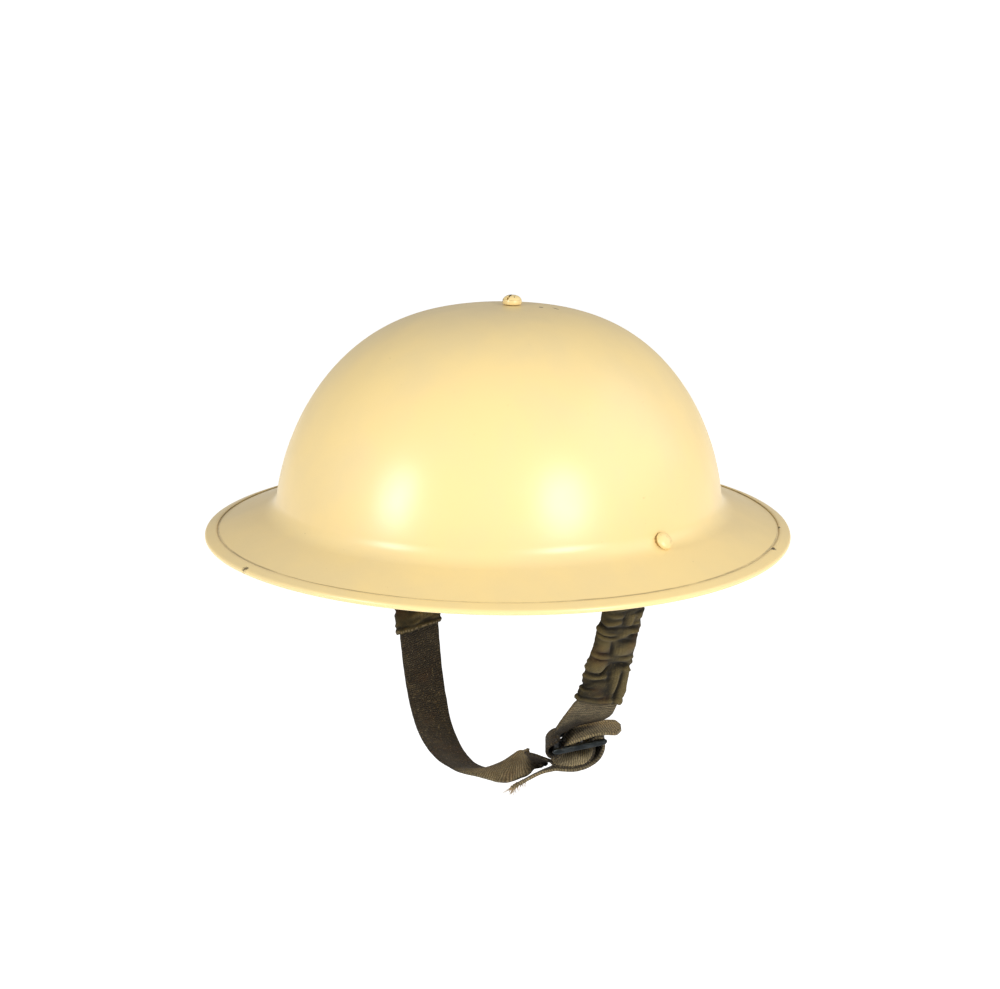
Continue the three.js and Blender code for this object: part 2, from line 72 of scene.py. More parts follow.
SCREW_SHIFT = 5  # the crown screw stands behind the helmet's middle
SLOT_HALF = 0.7  # half the width of the screw's slot
SLOT_FLOOR, LOBE_FOOT = 3.9, 3.7  # the slot's floor, and where the lobes beside it start
RIVET_ACROSS, RIVET_UP = 111.35, 15.85  # where a rivet's axis meets the outer skin
RIVET_TILT = 35  # degrees the rivet points above level
RIVET_RADIUS, RIVET_BROW, RIVET_DOME = 4.5, 1.75, 2.15  # head's radius, edge and dome
STRAP_WIDTH = 25
STRAP_STEPS = 7  # rings of the webbing to each gap between its rows
STRAP_CELLS = 16  # faces across the webbing
STRAP_HOLE = (7.8, -24.9, LEVEL - 126.5)
SLEEVE_CELLS, SLEEVE_STEPS = 140, 20  # faces round a sleeve, rings to each gap
THREADS = 80


def over_lug(side, *tones):
    """Rows of the webbing where it folds over a lug."""
    return [(side * x, 0, z, 90, 0, 0, STRAP_WIDTH, *tones)
            for x, z in ((101.6, -5), (101.6, 5), (99, 7.6), (96.4, 5))]


# Free rows of the webbing: x, y, height over the brim's lower edge, heading and rise in degrees
# of the direction across the strap, cupping in degrees, width, tone of the face that looks
# inwards and of the one that looks outwards (0 dark, 1 faded). The dark tones stand for dirt,
# and in the strap's turned and hollow parts also for painted shade.
RIGHT_FALL = [
    *over_lug(-1, 0.15, 0.3),
    (-93, 0, -10, 90, 0, 0, 25, 0.15, 0.4),
    (-85, 0, -27, 86, 2, 0, 25, 0.12, 0.4),
    (-75.5, 0, -43, 81, 5, 0, 25, 0.1, 0.4),
    (-66.8, 0, -59.6, 82, 3, 0, 25, 0.05, 0.4),
    (-63.7, 0, -77.9, 83, 1, 0, 25, 0.06, 0.4),
    (-60.5, -0.5, -93.7, 84, -4, 0, 25, 0.06, 0.4),
    (-53.7, -3, -108.3, 83, -10, 0, 25, 0.04, 0.4),
    (-43.7, -7, -120.4, 82, -16, 0, 25, 0.05, 0.35),
    (-29.8, -12, -127.8, 78, -19, 0, 25, 0.05, 0.35),
    (-13.6, -17, -130.3, 79, -19, 0, 25, 0.05, 0.4),
    (0, -19, -129.7, 84, -15, 0, 25, 0.06, 0.4),
    (9.7, -19.5, -126.8, 92, -8, 3, 25, 0.33, 0.3),
    (18.5, -18.3, -122.9, 100, 5, 8, 25, 0.44, 0.2),
    (25.6, -17.2, -119.8, 109, 19, 10, 25, 0.46, 0.2),
    (32, -17.1, -118.3, 123, 22, 8, 22, 0.44, 0.2),
    (38.2, -15.6, -115.2, 134, 28, 2, 17.5, 0.42, 0.2),
    # From here to the slide the inward face turns down past the crease; these low inward tones
    # paint its shade.
    (41.7, -15, -113, 174, 53, 0, 10, 0.2, 0.3),
    (43, -15, -112.3, 258, 57, 0, 12, 0.02, 0.4),
    (44.9, -15, -111.5, 298, 45, 0, 14.5, 0.04, 0.5),
    (47.5, -14.4, -111, 306, 38, 0, 17.5, 0.04, 0.6),
    (50.1, -13, -111, 311, 30, 0, 20, 0.06, 0.8),
]
# Rows laid in the slide: along and above its centre, tilt, cupping, width, tones.
RIGHT_WRAP = [
    (-17, -8.8, -16, 0, 24, 0.1, 0.95),
    (-14.5, -9.3, -8, 0, 25, 0.1, 0.95),
    (-12, -9.1, -2, 0, 25, 0.1, 0.95),
    (-8.5, -8.4, 6, -4, 25, 0.1, 1.0),
    (-4.5, -7.3, 12, -8, 25, 0.1, 1.0),
    (0, -6.2, 15, -10, 25, 0.1, 0.95),
    (3.6, -5, 11, -6, 25, 0.1, 0.8),
    (6, -3.2, 5, -2, 25, 0.1, 0.5),
    (7.1, -1, 0, 0, 25, 0.1, 0.3),
    (7.9, 1.2, 0, 0, 25, 0.2, 0.3),
    (9.6, 1.85, 0, 0, 25, 0.3, 0.3),
    (11.3, 1.2, 0, 0, 25, 0.4, 0.3),
    (12.1, -0.8, 0, 0, 25, 0.4, 0.4),
    (11.5, -3.2, 3, 0, 25, 0.4, 0.5),
    (9.2, -5.3, 9, 0, 25, 0.3, 0.6),
    (5.6, -6.9, 13, 5, 25, 0.3, 0.7),
    (0.8, -8.2, 15, 9, 25, 0.4, 0.7),
    (-4.5, -9.3, 12, 8, 25, 0.4, 0.7),
    (-8.5, -10.3, 6, 4, 25, 0.4, 0.7),
    (-12, -11.3, -3, 0, 25, 0.4, 0.6),
    (-15, -11.8, -9, 0, 25, 0.4, 0.6),
    (-18.5, -12.7, -13, 0, 25, 0.5, 0.5),
    (-22.5, -13.3, -14, 0, 25, 0.5, 0.5),
    (-27, -14.4, -14, 0, 25, 0.5, 0.5),
    (-31.5, -15.8, -14, 0, 25, 0.5, 0.5),
    (-35, -16.8, -14, 0, 25, 0.5, 0.5),
    (-38, -17.5, -14, 0, 25, 0.5, 0.5),
]
LEFT_FALL = [
    *over_lug(1, 0.16, 0.21),
    (94, 0, -8, 90, 0, 0, 25, 0.16, 0.21),
    (88.4, 0, -22.6, 91, 0, 0, 25, 0.16, 0.21),
    (84.2, 0, -39.5, 88, -1, 0, 25, 0.16, 0.21),
    (80.5, 0, -51.9, 86, -1, 0, 25, 0.16, 0.21),
    (76.8, -0.4, -64.5, 84, -4, 0, 25, 0.27, 0.21),
    (74.9, -1.2, -73.5, 79, -8, 0, 25, 0.32, 0.21),
    (71.6, -2.7, -80.1, 72, -12, 0, 25, 0.32, 0.21),
    (66.5, -3.6, -85.6, 77, -9, 0, 25, 0.27, 0.14),
    (61, -4.4, -90.4, 91, -7, 0, 25, 0.16, 0.07),
    (55.2, -5.8, -95.5, 109, -6, 0, 25, 0.11, 0.03),
]
LEFT_WRAP = [
    # The first rows, darkest of all, paint the shade in the hollow where the webbing wraps round
    # the slide's bar.
    (-11.3, 3.9, 0, 0, 25, 0, 0.05),
    (-14.6, 2.9, 0, 0, 25, 0, 0.05),
    (-16.8, 0.9, 0, 0, 25, 0, 0.05),
    (-16.9, -1.1, 0, 0, 25, 0, 0.05),
    (-16, -2.8, 0, 0, 25, 0, 0.05),
    (-13.8, -3.7, 0, 0, 25, 0, 0.1),
    (-11.4, -3.2, 0, 0, 25, 0, 0.15),
    (-9, -1.8, 0, 0, 25, 0.2, 0.25),
    (-7.4, -0.4, 0, 0, 25, 0.45, 0.3),
    (-5.6, 1, 0, 0, 25, 0.55, 0.3),
    (-3, 2.1, 0, 0, 25, 0.63, 0.3),
    (0, 2.5, 0, 0, 25, 0.63, 0.3),
    (4, 3.1, 0, 0, 25, 0.63, 0.3),
    (9.6, 3.5, 0, 0, 25, 0.58, 0.3),
    (13.5, 3, 0, 0, 25, 0.58, 0.3),
    (17, 2.3, 0, 0, 25, 0.55, 0.3),
    (19.6, 1.7, 0, 0, 23.5, 0.55, 0.3),
    (22, 1.1, 0, 0, 8, 0.5, 0.3),
]
SLIDE_CENTRE = Vector((61.2, 0, LEVEL - 98.9))
SLIDE_ALONG = Vector((0.6684, 0.7052, 0.2365)).normalized()
SLIDE_ACROSS = Vector((-0.7048, 0.7021, -0.1016)).normalized()
SLIDE_UP = SLIDE_ALONG.cross(SLIDE_ACROSS).normalized()
# Sleeve rows: x, y, height over the brim's lower edge, heading of the wide direction, half
# width, half thickness, slant of the cut in degrees.
RIGHT_SLEEVE = [
    (-98.1, 0, -3.5, 90, 14.9, 7.5, 0),
    (-95.3, 0, -9, 90, 14.7, 6.8, 0),
    (-90.2, 0, -17, 89, 14.4, 4.9, 0),
    (-85, 0, -27, 86, 14.2, 3.9, 0),
    (-75.5, 0, -43, 81, 14.2, 3.5, 0),
    (-69.6, 0, -54, 81, 14.3, 3.5, 1),
    (-66, 0, -63.5, 82, 14.4, 3.4, 3),
    (-64.7, 0, -71.5, 83, 14.5, 3.2, 5),
]
LEFT_SLEEVE = [
    (98.2, 0, -3.5, 90, 14.9, 7.5, 0),
    (95.8, 0, -9, 90, 14.7, 6.8, 0),
    (91, 0, -17, 90, 14.4, 4.9, 0),
    (87, 0, -28.5, 90, 14.2, 4.1, 0),
    (84.2, 0, -39.5, 88, 14.2, 3.7, 0),
    (80.5, 0, -51.9, 86, 14.4, 3.7, 0),
    (77.3, -0.2, -64, 84, 14.6, 3.8, -1),
    (74.6, -1.1, -74, 80, 14.9, 4, -6),
]
# Folds of a sleeve: distance down it, place round it from the middle of its inward face,
# direction in degrees (0 runs across), half length, half width, height.
LEFT_FOLDS = [
    (21.8, -9.5, 8, 6, 1.0, 1.0),
    (26, -10.5, 0, 6.5, 1.0, 1.3),
    (29, -9, 6, 5, 0.8, -1.0),
    (32.4, -11.5, 12, 6, 0.8, 1.3),
    (33.6, -11.5, 12, 6, 0.5, -0.8),
    (34.8, -11.5, 12, 6.5, 0.8, 1.5),
    (39.2, -11, 0, 4.5, 3.0, 1.1),
    (41, -6, 70, 4, 1.0, -1.2),
    (43.4, -11, 8, 5, 0.7, -1.0),
    (45.5, -11.5, 10, 6, 0.8, 1.4),
    (47, -11.5, 10, 6, 0.6, -1.0),
    (51.3, -11, 0, 4, 3.0, 1.8),
    (54.3, -6.3, -40, 3, 0.9, -1.9),
    (55.8, -11.5, 5, 5, 0.8, -1.4),
    (58, -9.3, 0, 5.5, 0.9, 1.5),
    (60, -9, 0, 5, 1.0, -0.7),
    (25, -3, 80, 3.5, 1.1, -1.1),
    (26.7, 2.6, 90, 3.5, 1.6, 1.5),
    (26, 9.5, 0, 3, 2.0, 1.2),
    (29.5, 9, 0, 3, 0.8, 1.1),
    (31.2, 4.5, 12, 6, 0.9, -1.4),
    (34.5, 8.6, 8, 3.5, 0.9, 1.4),
    (34.8, 1, 0, 4, 1.7, 0.8),
    (36.6, 7.3, 10, 3.5, 0.8, -1.2),
    (38.6, 3.5, 14, 6, 0.9, -1.3),
    (44.3, 1.8, 15, 4, 2.6, 1.4),
    (43.5, 8.8, 10, 4, 2.4, 1.3),
    (47.6, 3.5, 14, 6, 0.8, -0.9),
    (50.3, 8, 12, 5, 1.4, 0.9),
    (52.8, 5.6, 16, 7, 0.9, -1.6),
    (56.6, 10, 14, 3.5, 0.7, 1.2),
    (59.5, -1.8, 78, 6, 1.2, -0.9),
    (64, 3.8, 86, 8, 1.5, 1.2),
    (65, 6.8, 90, 8, 1.1, -1.3),
    (66, 11.3, 88, 12, 2.3, 1.7),
]
RIGHT_FOLDS = [
    (20, -4, 6, 9, 1.6, 0.8),
    (27, 4, -5, 9, 1.5, 0.8),
    (34, -3, 8, 9, 1.6, 0.9),
    (41, 5, -6, 9, 1.4, 0.8),
    (48, -5, 4, 9, 1.5, 0.6),
    (55, 3, -4, 9, 1.5, 0.5),
]

# Chips and caught dirt: place, how far the spot is squeezed along each axis, size.
SHELL_SPOTS = [
    ((13.1, 12.5, 0.5), (1, 1, 1), 1.3),
    ((17.5, 19, 0.2), (0.45, 1.6, 1), 1.2),
]
SCREW_SPOTS = [
    ((-3.6, 1, 3.2), (1, 1, 0.8), 1.5),
    ((-1.6, 4.2, 6), (1, 1, 1), 1.7),
    ((0.6, 5.6, 6.4), (1, 1, 1), 1.1),
]
BAND_SPOTS = [
    ((-10.9, -152.7, -112.4), (0.85, 1, 1), 2.2),
    ((124.6, 66.2, -112), (0.8, 0.9, 1), 2.7),
    ((102.6, 99.9, -111.1), (0.8, 1, 1), 1.8),
    ((29.7, -141.3, -109.3), (0.8, 1, 1), 1.4),
    ((-76, -122.5, -110.3), (0.8, 1, 1), 1.5),
]
# Dirt and painted shade in the rim's seam: the oval's half width and half length, thickness,
# least strength.
SHELL_SEAM = (138.95, 148.1, 0.5, 0.2)
BAND_SEAM = (139.6, 148.8, 0.3, 0.1)

# Softboxes: name, azimuth and elevation in degrees, then in metres the distance, width and
# height, and the share of the panel's power.
SOFTBOXES = [
    ("softbox_front", 2, 16, 1.15, 0.22, 0.42, 1),
    ("softbox_side", 85, 15, 1.15, 0.26, 0.42, 1.15),
    ("pale_wall", 136, 30, 1.6, 1.3, 1.1, 0.85),
]
CAMERA_PLACE = (0.63348, -0.60148, 0.12005)
CAMERA_RIGHT = (0.68457, 0.72872, 0.01820)
CAMERA_UP = (-0.18828, 0.15264, 0.97018)
CAMERA_BACK = (0.70421, -0.66758, 0.24170)
CAMERA_LENS, CAMERA_SENSOR = 62.4, 36
FLOOR_LEVEL, FLOOR_RADIUS = -0.72, 12  # in metres


# ---- values on the panel -----------------------------------------------------------------------


def length_value(name, description, default, precision=4):
    """A length that the panel shows."""
    return FloatProperty(
        name=name, description=description, default=default, unit="LENGTH", precision=precision
    )


def colour_value(name, description, red, green, blue):
    """A colour that the panel shows."""
    return FloatVectorProperty(
        name=name, description=description, default=(red, green, blue, 1), size=4,
        subtype="COLOR", min=0, max=1,
    )


class HelmetShape(bpy.types.PropertyGroup):
    """Sizes of the pressed shell"""

    brim_half_width: length_value(
        "Brim Half Width", "From the middle to the outside of the rim band, across the helmet",
        0.146,
    )
    brim_half_length: length_value(
        "Brim Half Length", "From the middle to the outside of the rim band, front to back",
        0.155,
    )
    dome_half_width: length_value(
        "Dome Half Width", "Half the dome's width where it would meet the brim", 0.1099
    )
    dome_half_length: length_value(
        "Dome Half Length", "Half the dome's length where it would meet the brim", 0.1197
    )
    brim_slope: FloatProperty(
        name="Brim Slope",
        description="How far the brim falls below level",
        default=math.radians(20),
        subtype="ANGLE",
    )
    turns: IntProperty(
        name="Steps Around",
        description="Faces round the shell and the rim band",
        default=180,
        min=48,
        max=256,
    )
    waviness: length_value(
        "Waviness", "How far the pressed sheet wanders from true", 0.00012, 5
    )


class PaintFinish(bpy.types.PropertyGroup):
    """Colours of the sand paint"""

    paint: colour_value("Paint", "Sand paint as it was laid on", 0.735, 0.56, 0.25)
    faded: colour_value(
        "Faded Paint", "Sand paint where light and hands have dulled it", 0.68, 0.53, 0.262
    )
    grime: colour_value(
        "Grime", "Rust and dirt held in chips and specks", 0.085, 0.062, 0.03
    )
    # Laid in the rim's seam as dirt and as the painted shade of the gap under the band's lip.
    seam_dirt_and_shade: colour_value(
        "Seam Dirt And Shade", "Thin dirt held where the rim band meets the brim", 0.40, 0.30, 0.14
    )


class StrapCloth(bpy.types.PropertyGroup):
    """Cloth of the chin strap"""

    # Dark webbing is dirt, and where the strap's rows turn into shadow it is painted shade.
    dark: colour_value(
        "Dark Webbing", "Webbing where sweat and dirt have darkened it", 0.020, 0.0145, 0.0078
    )
    faded: colour_value(
        "Faded Webbing", "Webbing that has kept its khaki", 0.28, 0.222, 0.122
    )
    sleeve: colour_value(
        "Sleeve Cloth", "Olive-brown cloth of the ruched sleeves", 0.034, 0.0258, 0.0108
    )
    thickness: length_value("Webbing Thickness", "Through the woven strap", 0.0013)
    cords: FloatProperty(
        name="Cords",
        description="Warp cords across one strap width",
        default=21,
        min=4,
        max=60,
    )


class StageLight(bpy.types.PropertyGroup):
    """Light of the stage"""

    key: FloatProperty(
        name="Softboxes",
        description="Power of the softbox in front, which the others follow",
        default=7.25,
        min=0,
    )
    fill: FloatProperty(
        name="Surround",
        description="Strength of the even light from all round",
        default=0.50,
        min=0,
    )


# ---- meshes ------------------------------------------------------------------------------------


def smooth_rows(rows, steps):
    """Rows along a smooth curve through the given ones, `steps` to each gap."""
    fine = []
    last = len(rows) - 1
    for i in range(last):
        before, here = rows[max(i - 1, 0)], rows[i]
        ahead, after = rows[i + 1], rows[min(i + 2, last)]
        for step in range(steps):
            t = step / steps
            fine.append([
                0.5 * (2 * b + (c - a) * t + (2 * a - 5 * b + 4 * c - d) * t * t
                       + (3 * b - a - 3 * c + d) * t ** 3)
                for a, b, c, d in zip(before, here, ahead, after)
            ])
    fine.append(list(rows[-1]))
    return fine


def finished(name, bm, materials):
    """The bmesh as a new smooth object at the origin, with its materials."""
    mesh = bpy.data.meshes.new(name)
    bm.to_mesh(mesh)
    bm.free()
    piece = bpy.data.objects.new(name, mesh)
    bpy.context.scene.collection.objects.link(piece)
    for each in materials:
        mesh.materials.append(each)
    mesh.polygons.foreach_set("use_smooth", [True] * len(mesh.polygons))
    return piece


def place(piece, slot, *nodes):
    """Fixes a piece to the part, in place of its CAD nodes."""
    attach(piece, "root")
    if nodes:
        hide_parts(*nodes)


def add_modifier(piece, name, kind, **settings):
    """Adds a modifier with the given settings."""
    modifier = piece.modifiers.new(name, kind)
    for key, value in settings.items():
        setattr(modifier, key, value)


def soften(piece, width, segments, degrees):
    """Rounds the edges that turn by more than this, over a width in millimetres."""
    add_modifier(piece, "Soft edges", "BEVEL", width=width * MM, segments=segments,
                 limit_method="ANGLE", angle_limit=math.radians(degrees))


def turned(profile, steps, closed=False):
    """A profile of (radius, height) turned once round the upright axis."""
    bm = bmesh.new()
    verts = [bm.verts.new((radius, 0, height)) for radius, height in profile]
    pairs = list(zip(verts, verts[1:]))
    if closed:
        pairs.append((verts[-1], verts[0]))
    edges = [bm.edges.new(pair) for pair in pairs]
    bmesh.ops.spin(
        bm,
        geom=verts + edges,
        cent=(0, 0, 0),
        axis=(0, 0, 1),
        angle=math.tau,
        steps=steps,
        use_merge=True,
    )
    bmesh.ops.remove_doubles(bm, verts=bm.verts, dist=1e-7)
    bmesh.ops.recalc_face_normals(bm, faces=bm.faces)
    return bm


def stand_on(bm, origin, axis):
    """Moves an upright bmesh to stand on a point, along an axis."""
    turn = Vector((0, 0, 1)).rotation_difference(axis).to_matrix().to_4x4()
    bmesh.ops.transform(bm, matrix=Matrix.Translation(origin) @ turn, verts=bm.verts)


def cut_flat(bm, point, normal, keep_above):
    """Cuts a closed bmesh with a plane, keeps one side and closes the cut."""
    cut = bmesh.ops.bisect_plane(
        bm,
        geom=bm.verts[:] + bm.edges[:] + bm.faces[:],
        plane_co=point,
        plane_no=normal,
        clear_inner=keep_above,
        clear_outer=not keep_above,
    )
    rim = [e for e in cut["geom_cut"] if isinstance(e, bmesh.types.BMEdge)]
    bmesh.ops.contextual_create(bm, geom=rim)


def brim_point(shape, inset, over):
    """(radius, height) on the side section: inset from the brim's edge, over the sheet's middle.

    Inset and over are in millimetres.
    """
    inset, over = inset * MM, over * MM
    edge = shape.brim_half_width - BAND_STAND * MM
    cosine, sine = math.cos(shape.brim_slope), math.sin(shape.brim_slope)
    return (
        edge - inset * cosine + over * sine,
        (BRIM_EDGE + LEVEL) * MM + inset * sine + over * cosine,
    )


def shell_outline(shape):
    """The outside of the shell in section, from the crown to the brim's edge."""
    span = CROWN - DOME_BASE
    low = math.asin(((DOME_FOOT - DOME_BASE) / span) ** (DOME_RISE / 2))
    points = []
    for i in range(DOME_RINGS + 1):
        turn = math.pi / 2 + (low - math.pi / 2) * i / DOME_RINGS
        radius = shape.dome_half_width * max(math.cos(turn), 0) ** (2 / DOME_ROUND)
        height = (DOME_BASE + span * math.sin(turn) ** (2 / DOME_RISE) + LEVEL) * MM
        points.append((radius if i else 0, height))
    # the curve from the dome's foot runs out along the brim's own slope
    start, end = points[-1], brim_point(shape, 30, WALL / 2)
    lead = 0.4 * MM
    foot = (start[0] + lead,
            end[1] + (end[0] - start[0] - lead) * math.tan(shape.brim_slope))
    for i in range(1, FOOT_RINGS + 1):
        t = i / FOOT_RINGS
        points.append(tuple(
            (1 - t) ** 2 * start[k] + 2 * t * (1 - t) * foot[k] + t * t * end[k] for k in (0, 1)
        ))
    points += [brim_point(shape, inset, WALL / 2) for inset in BRIM_INSETS]
    return points


def inside_of(outline, wall):
    """The outline moved inwards by the thickness of the sheet."""
    inner = []
    for i, (radius, height) in enumerate(outline):
        before, after = outline[max(i - 1, 0)], outline[min(i + 1, len(outline) - 1)]
        run = (after[0] - before[0], after[1] - before[1])
        length = math.hypot(*run)
        if i:
            inner.append((radius + wall * run[1] / length, height - wall * run[0] / length))
        else:
            inner.append((0, height - wall))
    return inner


def make_oval(bm, shape):
    """Stretches a round turned sheet to the helmet's oval, with the brim's slight saddle."""
    growth = ((shape.brim_half_length - shape.dome_half_length)
              / (shape.brim_half_width - shape.dome_half_width))
    stretch = shape.dome_half_length / shape.dome_half_width
    for vert in bm.verts:
        radius = math.hypot(vert.co.x, vert.co.y)
        if radius < 1e-7:
            continue
        turn = math.atan2(vert.co.y, vert.co.x)
        beyond = radius - shape.dome_half_width
        if beyond > 0:
            length = shape.dome_half_length + beyond * growth
            droop = (BRIM_SADDLE * MM * beyond
                     / (shape.brim_half_width - shape.dome_half_width))
        else:
            length, droop = radius * stretch, 0
        vert.co.x = radius * math.cos(turn)
        vert.co.y = length * math.sin(turn)
        vert.co.z -= droop * math.cos(2 * turn)


def add_waviness(bm, amount):
    """Lets the sheet wander a little from true, the same on both faces."""
    for vert in bm.verts:
        spot = vert.co * 18
        push = noise.noise(spot) + 0.5 * noise.noise(spot * 2.3)
        out = Vector((vert.co.x, vert.co.y, 0.03)).normalized()
        vert.co += out * (amount * push)


def strap_rows(falls, wraps, hand):
    """Webbing rows as numbers: centre, direction across, cupping, width, two tones."""
    def free(row):
        x, y, z, heading, rise = row[:5]
        heading, rise = math.radians(heading), math.radians(rise)
        return [x, y, z + LEVEL, math.cos(rise) * math.cos(heading),
                math.cos(rise) * math.sin(heading), math.sin(rise), *row[5:]]

    def laid(row):
        along, lift, tilt = row[:3]
        tilt = math.radians(tilt)
        centre = SLIDE_CENTRE + SLIDE_ALONG * along + SLIDE_UP * lift
        wide = (SLIDE_ACROSS * math.cos(tilt) + SLIDE_UP * math.sin(tilt)) * hand
        return [*centre, *wide, *row[3:]]

    return [*map(free, falls), *map(laid, wraps)]


class Ribbon:
    """A strap's path: where each point across and along it lies."""

    def __init__(self, rows, steps):
        self.fine = smooth_rows(rows, steps)
        self.centres = [Vector(row[:3]) for row in self.fine]
        self.lengths = [0.0]
        for a, b in zip(self.centres, self.centres[1:]):
            self.lengths.append(self.lengths[-1] + (b - a).length)
        self.frames = []
        last = len(self.fine) - 1
        for i, row in enumerate(self.fine):
            run = (self.centres[min(i + 1, last)] - self.centres[max(i - 1, 0)]).normalized()
            wide = Vector(row[3:6])
            wide = (wide - run * wide.dot(run)).normalized()
            self.frames.append((run, wide, run.cross(wide)))

    def point(self, i, t):
        """The point at fine row i, t from -1 to 1 across, in millimetres."""
        _, wide, face = self.frames[i]
        bend, half = math.radians(self.fine[i][6]), self.fine[i][7] / 2
        if abs(bend) < 0.002:
            return self.centres[i] + wide * (t * half)
        return (self.centres[i] + wide * (math.sin(bend * t) / bend * half)
                - face * ((1 - math.cos(bend * t)) / bend * half))


def strap_sheet(ribbon):
    """The strap as a sheet with a UV map in strap widths and its two tones."""
    across, along = STRAP_CELLS, len(ribbon.fine) - 1
    bm = bmesh.new()
    bmesh.ops.create_grid(bm, x_segments=along, y_segments=across, size=0.5)
    uv = bm.loops.layers.uv.new("strap")
    inward = bm.verts.layers.float.new("tone_inward")
    outward = bm.verts.layers.float.new("tone_outward")
    spots = {}
    for vert in bm.verts:
        i = round((vert.co.x + 0.5) * along)
        t = round((vert.co.y + 0.5) * across) / across * 2 - 1
        spots[vert] = (i, t)
    for vert, (i, t) in spots.items():
        vert[inward], vert[outward] = ribbon.fine[i][8], ribbon.fine[i][9]
        point = ribbon.point(i, t)
        run, wide, face = ribbon.frames[i]
        s = ribbon.lengths[i]
        ripple = 0.16 * noise.noise(Vector((s * 0.14, t * 1.3, 3.1)))
        edge = abs(t) ** 8 * 0.22 * noise.noise(Vector((s * 0.45, t * 9, 7.7)))
        vert.co = (point + face * ripple + wide * (edge * (1 if t > 0 else -1))) * MM
    for face in bm.faces:
        for loop in face.loops:
            i, t = spots[loop.vert]
            loop[uv].uv = (ribbon.lengths[i] / STRAP_WIDTH, (t + 1) / 2)
    return bm


def fold_height(folds, down, around, girth):
    """Height of the sleeve's folds at a distance down it and a place round it."""
    height = 0
    for d, x, angle, half_length, half_width, tall in folds:
        if abs(down - d) > 14:
            continue
        aside = (around - x + girth / 2) % girth - girth / 2
        turn = math.radians(angle)
        along = aside * math.cos(turn) + (down - d) * math.sin(turn)
        away = (down - d) * math.cos(turn) - aside * math.sin(turn)
        height += tall * math.exp(-(along / half_length) ** 2 - (away / half_width) ** 2)
    return height


def small_gathers(seed, length, count, placed):
    """Short folds across the sleeve, where the cloth is gathered, clear of the placed ones."""
    chance = random.Random(seed)
    gathers = []
    for _ in range(count):
        down, around = chance.uniform(9, length - 3), chance.uniform(-36, 36)
        near = any(abs(down - fold[0]) < 4 and abs(around - fold[1]) < 7 for fold in placed)
        tall = chance.uniform(0.5, 1.15) * (0.3 if near else 1)
        gathers.append((down, around, chance.gauss(0, 11), chance.uniform(4, 9),
                        chance.uniform(0.8, 1.3), tall if chance.random() < 0.6 else -tall))
    return gathers


def sleeve_tube(rows, folds, seed):
    """A ruched cloth tube, open at both ends, with a UV map and the height of its folds."""
    around = SLEEVE_CELLS
    fine = smooth_rows(rows, SLEEVE_STEPS)
    centres = [Vector((row[0], row[1], row[2] + LEVEL)) for row in fine]
    downs = [0.0]
    for a, b in zip(centres, centres[1:]):
        downs.append(downs[-1] + (b - a).length)
    last = len(fine) - 1
    folds = [*folds, *small_gathers(seed, downs[-1], 120, folds)]
    bm = bmesh.new()
    bmesh.ops.create_grid(bm, x_segments=last, y_segments=around, size=0.5)
    uv = bm.loops.layers.uv.new("cloth")
    raised = bm.verts.layers.float.new("raised")
    spots = {}
    for vert in bm.verts:
        spots[vert] = (round((vert.co.x + 0.5) * last), round((vert.co.y + 0.5) * around))
    for vert, (i, j) in spots.items():
        heading, half_width, half_thick, slant = fine[i][3:]
        heading = math.radians(heading)
        run = (centres[min(i + 1, last)] - centres[max(i - 1, 0)]).normalized()
        wide = Vector((math.cos(heading), math.sin(heading), 0))
        wide = (wide - run * wide.dot(run)).normalized()
        face = run.cross(wide)
        # the tube's section is a flat oval with square shoulders
        turn = j / around * math.tau
        c, s = math.cos(turn), math.sin(turn)
        x = math.copysign(abs(c) ** 0.62, c) * half_width
        z = math.copysign(abs(s) ** 0.7, s) * half_thick
        out = (wide * (c * 0.8) + face * s).normalized()
        down, girth = downs[i], 4 * (half_width + half_thick)
        round_it = abs(x) + half_thick - abs(z)
        if s < 0:
            round_it = girth / 2 - round_it
        round_it = math.copysign(round_it, x)
        easing = min(1, down / 9)
        slow = noise.noise(Vector((c * 1.4 + seed, s * 1.4, down * 0.13)))
        height = fold_height(folds, down, round_it, girth)
        # a rolled hem with a groove over it
        height += 0.5 * math.exp(-((downs[-1] - down - 1.2) / 1.0) ** 2)
        height -= 0.5 * math.exp(-((downs[-1] - down - 3.2) / 0.7) ** 2)
        height = max(-1.5, min(2.2, height))
        lift = easing * (0.95 * height + 0.5 * slow)
        vert[raised] = height
        slant = math.tan(math.radians(slant))
        ragged = max(0, i / last - 0.8) * 5
        hem = 0.8 * noise.noise(Vector((seed, c * 2.2, s * 2.2))) * ragged
        vert.co = (centres[i] + wide * x + face * z + out * lift
                   - run * (x * slant + hem)) * MM
    for quad in bm.faces:
        for loop in quad.loops:
            i, j = spots[loop.vert]
            loop[uv].uv = (downs[i] / 10, j / around * 7)
    bmesh.ops.remove_doubles(bm, verts=bm.verts, dist=1e-7)
    bmesh.ops.recalc_face_normals(bm, faces=bm.faces)
    return bm, downs[-1]


def merged_copy(node, name, materials):
    """A copy of a CAD node with its loose triangles joined and merged into flat faces."""
    bm = bmesh.new()
    bm.from_mesh(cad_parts[node].data)
    bmesh.ops.remove_doubles(bm, verts=bm.verts, dist=1e-6)
    bmesh.ops.dissolve_limit(
        bm, angle_limit=math.radians(2), verts=bm.verts, edges=bm.edges
    )
    return finished(name, bm, materials)


# ---- materials ---------------------------------------------------------------------------------


